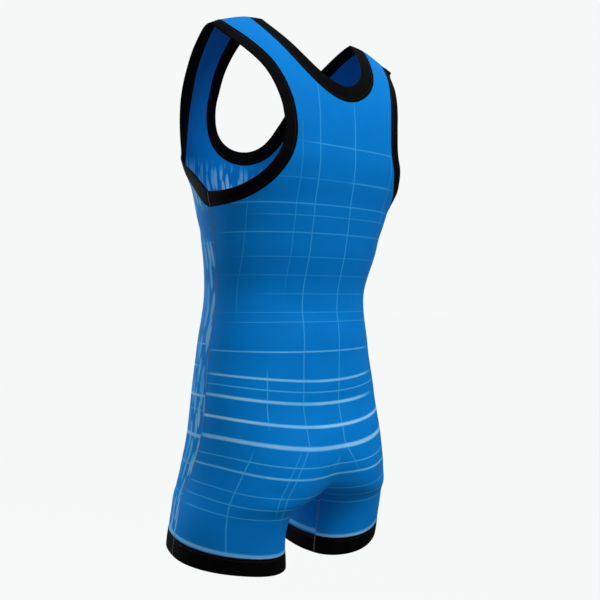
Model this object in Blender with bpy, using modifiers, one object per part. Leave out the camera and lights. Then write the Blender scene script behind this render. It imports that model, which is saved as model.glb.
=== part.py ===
"""A wrestling singlet, standing open as it is worn.

Two panels, front and back, run from the shoulder seams over the hips and down both legs. They meet
at the side seams and along the inseam, which arches from one leg to the other through the crotch.
Folded bindings finish the neck and both armholes, and a broader band finishes each leg.

Metres, +Z up. The front faces -Y and the wearer's left is +X. The origin is the middle of the
shoulder line, 3 mm above the straps.
"""

from math import asin, cos, pi, sin, sqrt
from typing import NamedTuple

import bmesh
import bpy
import numpy as np

NAME = "wrestling_singlet"

# Cloth and trim
CLOTH = 0.0012  # wall of the knitted panels
SEAM_GAP = 0.0003  # between two pieces that are sewn together
NECK_BINDING = (0.021, 0.0235)  # sewing line to folded edge, in front and at the back
NECK_CHANGE = (-0.096, 0.004)  # y between which one width becomes the other
ARM_BINDING = (0.026, 0.018)
ARM_CHANGE = (-0.120, 0.030)
ARM_FLARE = 0.38  # how far the armhole bindings turn out of the cloth, in radians, at most
FLARE_RISE = (-0.240, -0.060)  # heights between which the turn grows
FLARE_FADE = (-0.055, 0.010)  # y between which it fades over the shoulder
BAND_WIDTH = 0.026  # leg bands
PROUD = 0.0005  # how far a binding stands off the cloth, on each face
SEAM_COLUMN = 0.003  # narrow strip of wall beside each seam, which keeps its edge square

# Heights
TOP = -0.003  # shoulder seam, at the neck
NECK_FRONT = -0.177  # lowest point of the neck's sewing line, front
NECK_BACK = -0.122  # and back
CHEST = -0.205  # above this line the cloth rolls over the shoulders
ARM_BOTTOM = -0.275  # lowest point of the armhole's sewing line
CROTCH = -0.700  # before the tilt of the hem, which starts above it
HEM = -0.801  # folded edge of the legs, before its tilt
BAND_TOP = HEM + BAND_WIDTH

# Legs
ARCH = 0.020  # radius of the arch between the legs, at the crotch
HEM_RISE = 0.13  # the hem climbs this much per metre outward
HEM_DROP = 0.02  # and falls this much per metre to the back
HEM_PIVOT = (0.110, -0.072)  # x, y that the hem tilts about
TILT_TOP = -0.640  # the tilt grows from nothing here to its whole at the leg band

# Shoulders
STRAP_SLOPE = 0.41  # fall of the strap's top per metre outward
STRAP_LEVEL = 0.110  # x where that fall starts
STRAP_EASE = 0.020  # length over which it sets in
ROLL = 0.25  # way from the chest line up to the shoulder seam
ROLL_FRONT = (1.6, 0.73)  # powers that shape that way: depth, height
ROLL_BACK = (2.2, 0.667)
ROLL_ROUND = 0.35  # keeps the top round where front and back meet

# Mesh of a panel. Its rows are evenly spaced along both of its edges, so they climb or fall a little
# on the way out from the middle, and meet the openings at an angle.
COLUMNS = 14  # strips from the inner edge of a row to its outer edge
LEG_ROWS = 5  # leg band to crotch
TRUNK_ROWS = 19  # crotch to the bottom of the armhole
ARM_ROWS = 24  # from there to the shoulder seam
CROTCH_ROW_SIDE = -0.672  # height, at the side seam, of the row that starts at the crotch
ARM_ROW_MIDDLE = -0.330  # height, in the middle, of the row that ends at the armhole's bottom
TOP_ROW = 0.974  # share of the roll where the last row but one lies
SAMPLES = 161  # trial points along a row, which measure its length
FINE = 241  # trial points along an edge

BLUE = (0.0, 0.19, 0.72, 1.0)
BLACK = (0.012, 0.012, 0.014, 1.0)


class Section(NamedTuple):
    """A level cut through the body or the legs."""

    height: float
    half_width: float
    front: float  # depth in front of the side seam
    back: float  # depth behind it
    centre: float  # y of the side seam
    fork_front: float  # x where the front closes; minus half_width where both sides are one curve
    fork_back: float
    lean: float  # how far the inseam lies behind the side seam
    square_front: float  # 2 is an ellipse, more is squarer
    square_back: float
    turn: float  # how far the front of a leg is turned in, and its back out, per metre of depth


SECTIONS = (
    #       height  width  front  back   centre fork_f  fork_b lean   sq_f  sq_b  turn
    Section(-0.801, 0.179, 0.114, 0.074, -0.102, 0.030, 0.030, 0.080, 2.25, 2.25, 0.25),
    Section(-0.750, 0.174, 0.114, 0.080, -0.097, 0.033, 0.033, 0.082, 2.25, 2.25, 0.25),
    Section(-0.717, 0.169, 0.115, 0.085, -0.094, 0.031, 0.031, 0.090, 2.25, 2.25, 0.22),
    Section(-0.700, 0.165, 0.116, 0.088, -0.091, 0.020, 0.020, 0.099, 2.25, 2.25, 0.20),
    Section(-0.665, 0.160, 0.120, 0.098, -0.078, -0.010, 0.000, 0.074, 2.25, 2.25, 0.12),
    Section(-0.615, 0.157, 0.126, 0.103, -0.059, -0.085, -0.040, 0.030, 2.25, 2.25, 0.03),
    Section(-0.555, 0.153, 0.124, 0.104, -0.052, -0.130, -0.110, 0.000, 2.25, 2.25, 0.00),
    Section(-0.485, 0.145, 0.114, 0.104, -0.055, -0.145, -0.145, 0.000, 2.25, 2.25, 0.00),
    Section(-0.405, 0.136, 0.110, 0.091, -0.049, -0.136, -0.136, 0.000, 2.25, 2.25, 0.00),
    Section(-0.335, 0.145, 0.120, 0.102, -0.039, -0.145, -0.145, 0.000, 2.15, 2.40, 0.00),
    Section(-0.275, 0.155, 0.136, 0.114, -0.036, -0.155, -0.155, 0.000, 2.12, 2.65, 0.00),
    Section(-0.240, 0.163, 0.149, 0.1165, -0.029, -0.163, -0.163, 0.000, 2.18, 3.00, 0.00),
    Section(-0.205, 0.175, 0.159, 0.1175, -0.025, -0.175, -0.175, 0.000, 2.25, 3.25, 0.00),
)


class EdgeWidth(NamedTuple):
    """How far from the middle an opening's sewing line runs, clear of its rounded bottom."""

    height: float
    front: float
    back: float


ARMHOLE = (
    #         height  front  back
    EdgeWidth(-0.275, 0.150, 0.0945),
    EdgeWidth(-0.195, 0.139, 0.0925),
    EdgeWidth(-0.145, 0.139, 0.0965),
    EdgeWidth(-0.115, 0.141, 0.104),
    EdgeWidth(-0.085, 0.147, 0.1155),
    EdgeWidth(-0.055, 0.157, 0.132),
    EdgeWidth(0.000, 0.165, 0.165),
)
NECK = (
    EdgeWidth(-0.185, 0.094, 0.095),
    EdgeWidth(-0.125, 0.088, 0.095),
    EdgeWidth(-0.090, 0.092, 0.096),
    EdgeWidth(-0.055, 0.102, 0.098),
    EdgeWidth(0.000, 0.113, 0.113),
)
ARM_REACH = 0.455  # share of the armhole's height that its rounded bottom takes
ARM_POWER = (2.0, 2.6)  # roundness of the bottom, front and back
NECK_REACH = (0.5, 1.0)
NECK_POWER = (2.0, 1.9)


class Curve:
    """A smooth curve through the rows of a table that never overshoots them."""

    def __init__(self, heights, values, level=False):
        self.h = np.array(heights, float)
        self.v = np.array(values, float)
        step = np.diff(self.h)
        rise = np.diff(self.v) / step
        slope = np.zeros(len(self.v))
        slope[0], slope[-1] = rise[0], rise[-1]
        for i in range(1, len(rise)):
            if rise[i - 1] * rise[i] > 0:
                near, far = 2 * step[i] + step[i - 1], step[i] + 2 * step[i - 1]
                slope[i] = (near + far) / (near / rise[i - 1] + far / rise[i])
        if level:
            slope[-1] = 0.0
        self.slope = slope

    def at(self, height):
        """The value at a height; past the ends, the end row's."""
        height = min(max(height, self.h[0]), self.h[-1])
        i = min(int(np.searchsorted(self.h, height, side="right")) - 1, len(self.h) - 2)
        step = self.h[i + 1] - self.h[i]
        u = (height - self.h[i]) / step
        return (
            self.v[i] * (1 + 2 * u) * (1 - u) ** 2
            + self.slope[i] * step * u * (1 - u) ** 2
            + self.v[i + 1] * u * u * (3 - 2 * u)
            + self.slope[i + 1] * step * u * u * (u - 1)
        )


def curves(rows, level=False):
    """One curve for each column of a table but its heights; if asked, it ends level at the top."""
    heights = [row.height for row in rows]
    names = rows[0]._fields[1:]
    return {name: Curve(heights, [getattr(row, name) for row in rows], level) for name in names}


SECTION = curves(SECTIONS, level=True)
ARM = curves(ARMHOLE)
COLLAR = curves(NECK)


class Face(NamedTuple):
    """The front or the back of the garment, with its own share of the sizes above."""

    name: str
    sign: int  # -1 for the front, which faces -Y
    roll: tuple
    neck_bottom: float
    neck_reach: float
    neck_power: float
    arm_power: float
    yoke_rows: int  # rows from the bottom of the armhole to the bottom of the neck


FRONT = Face("front", -1, ROLL_FRONT, NECK_FRONT, NECK_REACH[0], NECK_POWER[0], ARM_POWER[0], 7)
BACK = Face("back", 1, ROLL_BACK, NECK_BACK, NECK_REACH[1], NECK_POWER[1], ARM_POWER[1], 11)


def from_middle(height, x):
    """Distance from the middle of the body, rounded off over the arch's radius."""
    share = min(abs(x) / SECTION["half_width"].at(height), 1.0)
    return sqrt(x * x + ARCH**2 * (1 - share * share))


def inseam_fork(height):
    """Where both faces close at the inseam of a leg."""
    return (SECTION["fork_front"].at(height) + SECTION["fork_back"].at(height)) / 2


def depth(height, x, face):
    """How far the cloth stands in front of or behind the seams."""
    half_width = SECTION["half_width"].at(height)
    fork = inseam_fork(height) if height < CROTCH else SECTION["fork_" + face.name].at(height)
    square = SECTION["square_" + face.name].at(height)
    reach, middle = (half_width - fork) / 2, (half_width + fork) / 2
    share = min(abs(from_middle(height, x) - middle) / reach, 1.0)
    return SECTION[face.name].at(height) * (1 - share**square) ** (1 / square)


def seam_y(height, x):
    """y of the surface that holds the side seams and the inseams."""
    half_width = SECTION["half_width"].at(height)
    share = (half_width - from_middle(height, x)) / (half_width - ARCH)
    return SECTION["centre"].at(height) + SECTION["lean"].at(height) * share


def hem_tilt(height, x, y):
    """How far a point on a leg is lifted by the tilt of the hem."""
    share = min(max((TILT_TOP - height) / (TILT_TOP - BAND_TOP), 0.0), 1.0)
    return share**2 * (HEM_RISE * (abs(x) - HEM_PIVOT[0]) - HEM_DROP * (y - HEM_PIVOT[1]))


def surface(t, x, face):
    """A point of the cloth's outer face.

    t is the height above the chest line while that is negative. From 0 to ROLL it goes from the
    chest line over the shoulder to its seam.
    """
    if t <= 0:
        height = CHEST + t
        y = seam_y(height, x) + face.sign * depth(height, x, face)
        turned_in = SECTION["turn"].at(height) * (y - SECTION["centre"].at(height))
        beside = x * abs(x) / (x * x + ARCH**2)
        return np.array([x + turned_in * beside, y, height + hem_tilt(height, x, y)])
    level, climb = max(cos(t / ROLL * pi / 2), 0.0), sin(t / ROLL * pi / 2)
    depth_power, height_power = face.roll
    fullness = (level**2 + ROLL_ROUND**2) / (1 + ROLL_ROUND**2)
    chest_y = SECTION["centre"].at(CHEST) + face.sign * depth(CHEST, x, face)
    reach = max(0.0, abs(x) - STRAP_LEVEL)
    top = TOP - STRAP_SLOPE * reach**2 / (reach + STRAP_EASE)
    y = chest_y * level * fullness ** ((depth_power - 1) / 2)
    return np.array([x, y, CHEST + (top - CHEST) * climb**height_power])


def height_of(t, face):
    """Height of a row, before the fall of the strap and the tilt of the hem."""
    if t <= 0:
        return CHEST + t
    return CHEST + (TOP - CHEST) * sin(t / ROLL * pi / 2) ** face.roll[1]


def row_at(height, face):
    """The row at a height, the inverse of height_of."""
    if height <= CHEST:
        return height - CHEST
    return asin(((height - CHEST) / (TOP - CHEST)) ** (1 / face.roll[1])) * ROLL * 2 / pi


def girth_x(t, face):
    """Half the width of the body at a row, as if it had no armholes."""
    return SECTION["half_width"].at(min(height_of(t, face), CHEST))


def bowl(share, power):
    """Width of an opening's rounded bottom, 0 to 1, at a share of its height."""
    return (1 - (1 - min(max(share, 0.0), 1.0)) ** power) ** (1 / power)


def armhole_x(t, face):
    """Outer edge of a row: the side seam, or the armhole above it."""
    height, half_width = height_of(t, face), girth_x(t, face)
    if height <= ARM_BOTTOM:
        return half_width
    share = (height - ARM_BOTTOM) / (TOP - ARM_BOTTOM) / ARM_REACH
    clear = 1 - asin(min(ARM[face.name].at(height) / half_width, 1.0)) * 2 / pi
    return half_width * cos(clear * bowl(share, face.arm_power) * pi / 2)


def neck_x(t, face):
    """Inner edge of a row above the bottom of the neck."""
    height = height_of(t, face)
    share = (height - face.neck_bottom) / (TOP - face.neck_bottom) / face.neck_reach
    return COLLAR[face.name].at(height) * bowl(share, face.neck_power)


def inseam_x(height):
    """Inner edge of a leg's row."""
    fork = inseam_fork(height)
    half_width = SECTION["half_width"].at(height)
    return sqrt(max(0.0, (fork**2 - ARCH**2) / (1 - (ARCH / half_width) ** 2)))


def inner_x(t, face):
    """Inner edge of a row: the inseam, the middle of the body, or the neck."""
    if height_of(t, face) < CROTCH:
        return inseam_x(height_of(t, face))
    return neck_x(t, face)


def lengths(points):
    """Distance along a line of points to each of them."""
    return np.concatenate([[0], np.cumsum(np.linalg.norm(np.diff(points, axis=0), axis=1))])


def evenly(edge_x, face, start, end, count):
    """Rows that split an edge of a panel into equal lengths, from one row to another.

    The edge turns fast at the start, which is the bottom of an opening, so points crowd there.
    """
    fine = start + (end - start) * np.linspace(0, 1, FINE) ** 3
    length = lengths(np.array([surface(t, edge_x(t, face), face) for t in fine]))
    return list(np.interp(np.linspace(0, length[-1], count + 1), length, fine))


def rows(face):
    """Every row of a panel, from the leg band to the shoulder seam, as its t at each edge."""
    hem, crotch, arm = (row_at(height, face) for height in (BAND_TOP, CROTCH, ARM_BOTTOM))
    crotch_side, arm_middle = row_at(CROTCH_ROW_SIDE, face), row_at(ARM_ROW_MIDDLE, face)
    neck = row_at(face.neck_bottom, face)
    inner = evenly(inner_x, face, crotch, hem, LEG_ROWS)[::-1]
    inner += evenly(inner_x, face, crotch, arm_middle, TRUNK_ROWS)[1:]
    inner += evenly(inner_x, face, arm_middle, neck, face.yoke_rows)[1:]
    inner += evenly(inner_x, face, neck, ROLL, ARM_ROWS - face.yoke_rows)[1:]
    outer = evenly(armhole_x, face, crotch_side, hem, LEG_ROWS)[::-1]
    outer += evenly(armhole_x, face, crotch_side, arm, TRUNK_ROWS)[1:]
    outer += evenly(armhole_x, face, arm, ROLL, ARM_ROWS)[1:]
    beside_seam = (TOP_ROW * ROLL, TOP_ROW * ROLL)
    pairs = list(zip(inner, outer))
    return pairs[:-1] + [beside_seam, pairs[-1]]


def row_points(t_inner, t_outer, face):
    """Points of one row, from its inner edge to its outer edge, evenly spaced along the cloth."""
    start, end = inner_x(t_inner, face), armhole_x(t_outer, face)
    on_leg = height_of(t_inner, face) < CROTCH
    first_angle = asin(start / girth_x(t_inner, face))
    last_angle = asin(min(end / girth_x(t_outer, face), 1.0))

    def point(share):
        t = t_inner + (t_outer - t_inner) * share
        if on_leg:
            return surface(t, start + (end - start) * (1 - cos(share * pi)) / 2, face)
        angle = first_angle + (last_angle - first_angle) * share
        return surface(t, girth_x(t, face) * sin(angle), face)

    shares = np.linspace(0, 1, SAMPLES)
    length = lengths(np.array([point(share) for share in shares]))
    inside = np.linspace(SEAM_COLUMN, length[-1] - SEAM_COLUMN, COLUMNS - 1)
    stops = np.concatenate([[0], inside, [length[-1]]])
    return np.array([point(share) for share in np.interp(stops, length, shares)])


def unit(vectors):
    """The same directions, one metre long."""
    return vectors / np.linalg.norm(vectors, axis=-1, keepdims=True)


def normal(t, x, face):
    """Outward direction of the cloth."""
    step = 0.0002
    x = min(x, girth_x(t, face) - 0.002)
    t = min(t, ROLL - 2 * step)
    across = surface(t, x + step, face) - surface(t, x - step, face)
    up = surface(t + step, x, face) - surface(t - step, x, face)
    return unit(np.cross(across, up)) * (-face.sign)


class Edge:
    """A closed sewing line, with the directions out of the cloth and on across the opening."""

    def __init__(self, points, normals):
        self.points = np.array(points)
        along = unit(np.roll(self.points, -1, axis=0) - np.roll(self.points, 1, axis=0))
        across = unit(np.cross(np.array(normals), along))
        to_middle = self.points.mean(axis=0) - self.points
        if (across * to_middle).sum() < 0:
            across = -across
        out = unit(np.cross(along, across))
        if (out * np.array(normals)).sum() < 0:
            out = -out
        self.across, self.out = across, out


def mirrored(points):
    """The same points on the wearer's right."""
    return np.array(points) * (-1, 1, 1)


def both_halves(left):
    """A closed symmetric line from its left half, whose two ends lie in the middle."""
    return np.concatenate([left, mirrored(left[-2:0:-1])])


CROTCH_INDEX = LEG_ROWS
ARM_INDEX = CROTCH_INDEX + TRUNK_ROWS


def neck_index(face):
    """Index of the row that starts at the bottom of the neck."""
    return ARM_INDEX + face.yoke_rows


class Shape:
    """The left half of both panels as grids of points, and the sewing lines between the pieces."""

    def __init__(self):
        self.rows = {face: rows(face) for face in (FRONT, BACK)}
        self.grid = {
            face: np.array([row_points(inner, outer, face) for inner, outer in self.rows[face]])
            for face in self.rows
        }
        self.armhole = Edge(*self.sewing_line(lambda face: ARM_INDEX, -1))
        points, normals = self.sewing_line(neck_index, 0)
        self.neck = Edge(both_halves(points), both_halves(normals))

    def sewing_line(self, first, column):
        """Points and normals up the front's edge from its first row, and down the back's."""
        points, normals = [], []
        for face in (FRONT, BACK):
            line = range(first(face), len(self.rows[face]))
            closes_itself = face is BACK and column == -1
            order = line if face is FRONT else line[::-1][1:]
            for i in order[:-1] if closes_itself else order:
                points.append(self.grid[face][i][column])
                normals.append(normal(self.rows[face][i][column], points[-1][0], face))
        return np.array(points), np.array(normals)

    def hem(self, height):
        """A closed line round the left leg."""
        t = row_at(height, FRONT)
        front, back = row_points(t, t, FRONT), row_points(t, t, BACK)
        return np.concatenate([front, back[-2:0:-1]])


def panel_grid(shape, face):
    """The left half of a panel, drawn back from every seam by half the gap."""
    exact = shape.grid[face]
    grid = exact.copy()
    half_gap = SEAM_GAP / 2
    neck = neck_index(face)
    side = exact[:ARM_INDEX + 1]
    grid[:ARM_INDEX + 1, -1] += unit(side[:, -2] - side[:, -1]) * half_gap
    grid[:CROTCH_INDEX, 0] += unit(exact[:CROTCH_INDEX, 1] - exact[:CROTCH_INDEX, 0]) * half_gap
    grid[CROTCH_INDEX, 0, 1] += face.sign * SEAM_GAP
    for edge, first, column in ((shape.armhole, ARM_INDEX, -1), (shape.neck, neck, 0)):
        for i in range(first, len(grid)):
            nearest = np.argmin(np.linalg.norm(edge.points - exact[i, column], axis=1))
            grid[i, column] -= edge.across[nearest] * half_gap
    grid[-1] += unit(exact[-2] - exact[-1]) * half_gap
    grid[0, :, 2] += half_gap
    grid[CROTCH_INDEX:neck + 1, 0, 0] = 0.0
    return grid


def material(name, color, roughness):
    """A plain cloth finish."""
    finish = bpy.data.materials.new(name)
    finish.use_nodes = True
    shader = finish.node_tree.nodes["Principled BSDF"]
    shader.inputs["Base Color"].default_value = color
    shader.inputs["Roughness"].default_value = roughness
    shader.inputs["Metallic"].default_value = 0.0
    finish.diffuse_color = color
    return finish


def add_object(name, mesh, finish, collection):
    """An object at the origin with one material."""
    mesh.materials.append(finish)
    piece = bpy.data.objects.new(name, mesh)
    collection.objects.link(piece)
    return piece


def mesh_from_grid(name, grid, flip=False, closed_rows=False, closed_columns=False):
    """A skin of quads over a grid of points."""
    mesh = bmesh.new()
    verts = [[mesh.verts.new(point) for point in row] for row in grid]
    count_i, count_j = len(verts), len(verts[0])
    for i in range(count_i if closed_rows else count_i - 1):
        for j in range(count_j if closed_columns else count_j - 1):
            below, above = verts[i], verts[(i + 1) % count_i]
            after = (j + 1) % count_j
            corners = [below[j], below[after], above[after], above[j]]
            mesh.faces.new(corners[::-1] if flip else corners)
    if closed_rows and closed_columns:
        bmesh.ops.recalc_face_normals(mesh, faces=mesh.faces)
    data = bpy.data.meshes.new(name)
    mesh.to_mesh(data)
    mesh.free()
    data.shade_smooth()
    return data


def mirror(piece):
    """Adds the wearer's right half."""
    modifier = piece.modifiers.new("right_half", "MIRROR")
    modifier.use_axis = (True, False, False)
    modifier.merge_threshold = 0.00005


def add_panel(name, face, shape, finish, collection):
    """The front or the back: one skin over the body, both legs and half of each strap."""
    skin = mesh_from_grid(name, panel_grid(shape, face), flip=face is BACK)
    piece = add_object(name, skin, finish, collection)
    mirror(piece)
    wall = piece.modifiers.new("wall", "SOLIDIFY")
    wall.thickness = CLOTH
    wall.offset = -1.0
    return piece


def soft_step(value, between):
    """0 before the first of two values, 1 past the second, and a soft rise from one to the other."""
    share = np.clip((value - between[0]) / (between[1] - between[0]), 0.0, 1.0)
    return share * share * (3 - 2 * share)


def width_at(y, widths, change):
    """A strip's width at a depth, going softly from its width in front to its width at the back."""
    return widths[0] + (widths[1] - widths[0]) * soft_step(y, change)


def flared(edge):
    """An armhole's points and directions, with its binding turned out of the cloth at the front.

    The turn is about the corner of the binding's section that lies beside the panel's outer face.
    """
    in_front = 1 - soft_step(edge.points[:, 1], FLARE_FADE)
    turn = (ARM_FLARE * soft_step(edge.points[:, 2], FLARE_RISE) * in_front)[:, None]
    across = edge.across * np.cos(turn) + edge.out * np.sin(turn)
    out = edge.out * np.cos(turn) - edge.across * np.sin(turn)
    beside, above = SEAM_GAP / 2, PROUD
    corner = edge.points + edge.across * beside + edge.out * above
    return corner - across * beside - out * above, across, out


def trim_section(width):
    """A folded strip cut across, as (distance from the sewing line, distance out of the cloth)."""
    half = CLOTH / 2 + PROUD
    middle = -CLOTH / 2
    start = SEAM_GAP / 2
    rounded = width - half * 0.8
    return (
        (start, middle + half),
        (rounded, middle + half),
        (width, middle),
        (rounded, middle - half),
        (start, middle - half),
    )


def trim_rings(points, across, out, widths, change):
    """The trim's section at each point of its sewing line."""
    rings = []
    for p, a, n in zip(points, across, out):
        section = trim_section(width_at(p[1], widths, change))
        rings.append([p + a * s + n * h for s, h in section])
    return rings


def add_neck_binding(shape, finish, collection):
    """One ring round the neck, over both shoulders."""
    edge = shape.neck
    half = slice(len(edge.points) // 2 + 1)
    lines = (edge.points[half], edge.across[half], edge.out[half])
    rings = np.array(trim_rings(*lines, NECK_BINDING, NECK_CHANGE))
    rings[0, :, 0] = rings[-1, :, 0] = 0.0
    skin = mesh_from_grid("neck_binding", rings, flip=True, closed_columns=True)
    mirror(add_object("neck_binding", skin, finish, collection))


def add_trim_ring(name, rings, side, finish, collection):
    """A closed ring of trim on the wearer's left (side 1) or right (side -1)."""
    rings = np.array(rings) * (side, 1, 1)
    skin = mesh_from_grid(name, rings, closed_rows=True, closed_columns=True)
    add_object(name, skin, finish, collection)


def leg_band_rings(shape):
    """The band's section at each point round the left leg."""
    top, hem = shape.hem(BAND_TOP), shape.hem(HEM)
    down = unit(hem - top)
    along = unit(np.roll(top, -1, axis=0) - np.roll(top, 1, axis=0))
    out = unit(np.cross(down, along))
    if (out * (top - top.mean(axis=0))).sum() < 0:
        out = -out
    return trim_rings(top, down, out, (BAND_WIDTH, BAND_WIDTH), ARM_CHANGE)


def build():
    """Clears the scene and makes the garment."""
    for old in list(bpy.data.objects):
        bpy.data.objects.remove(old, do_unlink=True)
    collection = bpy.data.collections.new(NAME)
    bpy.context.scene.collection.children.link(collection)
    blue = material("blue_knit", BLUE, 0.55)
    black = material("black_trim", BLACK, 0.6)
    shape = Shape()
    for face in (FRONT, BACK):
        add_panel(face.name + "_panel", face, shape, blue, collection)
    add_neck_binding(shape, black, collection)
    arm_rings = trim_rings(*flared(shape.armhole), ARM_BINDING, ARM_CHANGE)
    band_rings = leg_band_rings(shape)
    for side_name, side in (("left", 1), ("right", -1)):
        add_trim_ring("armhole_binding_" + side_name, arm_rings, side, black, collection)
        add_trim_ring("leg_band_" + side_name, band_rings, side, black, collection)


build()
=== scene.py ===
"""A wrestling singlet in blue stretch knit, standing open in the shape it is worn in.

Two printed panels, the folded bindings of the neck and armholes, the leg bands and the thread of
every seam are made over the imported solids, in metres, with +Z up and the front facing -Y.
"""

import logging
from dataclasses import dataclass, field
from enum import Enum
from math import asin, pi, radians
from typing import Callable, NamedTuple, Sequence

import bpy
import numpy as np
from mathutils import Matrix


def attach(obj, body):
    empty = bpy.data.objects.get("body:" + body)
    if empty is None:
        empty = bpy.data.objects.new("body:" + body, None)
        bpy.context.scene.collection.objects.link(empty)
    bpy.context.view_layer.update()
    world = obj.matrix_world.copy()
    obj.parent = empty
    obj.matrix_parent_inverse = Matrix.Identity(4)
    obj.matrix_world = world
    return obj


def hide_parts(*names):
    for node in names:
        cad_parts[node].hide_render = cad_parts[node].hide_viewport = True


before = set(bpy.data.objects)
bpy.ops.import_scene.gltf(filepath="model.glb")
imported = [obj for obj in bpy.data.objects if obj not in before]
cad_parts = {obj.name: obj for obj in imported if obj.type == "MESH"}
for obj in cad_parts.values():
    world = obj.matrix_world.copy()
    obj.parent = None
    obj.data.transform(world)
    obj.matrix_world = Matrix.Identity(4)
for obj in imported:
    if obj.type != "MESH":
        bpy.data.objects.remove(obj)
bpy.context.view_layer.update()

LOG = logging.getLogger("singlet")
BODY = "root"
UV_NAME = "cloth"

Colour = tuple[float, float, float, float]


class Side(Enum):
    """One of the wearer's two sides, as the sign of its x."""

    LEFT = 1
    RIGHT = -1

    @property
    def word(self) -> str:
        """The side's name, for a piece's name."""
        return self.name.lower()


class Hold(Enum):
    """What keeps a piece of cloth in its shape."""

    STRETCHED = "stretched"


def unit(vectors: np.ndarray) -> np.ndarray:
    """The same directions, one metre long."""
    return vectors / np.linalg.norm(vectors, axis=-1, keepdims=True)


class Section(NamedTuple):
    """A level cut through the body or the legs."""

    height: float
    half_width: float
    front: float  # depth in front of the side seam
    back: float  # depth behind it
    centre: float  # y of the side seam
    fork_front: float  # x where the front closes; minus half_width where both sides are one curve
    fork_back: float
    lean: float  # how far the inseam lies behind the side seam
    square_front: float  # 2 is an ellipse, more is squarer
    square_back: float
    turn: float  # how far the front of a leg is turned in, and its back out, per metre of depth


class EdgeWidth(NamedTuple):
    """How far from the middle an opening's sewing line runs, clear of its rounded bottom."""

    height: float
    front: float
    back: float


class Face(NamedTuple):
    """The front or the back of the garment."""

    name: str
    sign: int  # -1 for the front, which faces -Y
    depth_power: float  # the way over the shoulder, in depth and in height
    height_power: float
    neck_bottom: float  # height of the neck's sewing line in the middle
    neck_reach: float  # share of the neck's height that its rounded bottom takes up
    neck_power: float  # roundness of that bottom, and of the armhole's
    arm_power: float


FRONT = Face("front", -1, 1.6, 0.73, -0.177, 0.5, 2.0, 2.0)
BACK = Face("back", 1, 2.2, 0.667, -0.122, 1.0, 1.9, 2.6)


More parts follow.
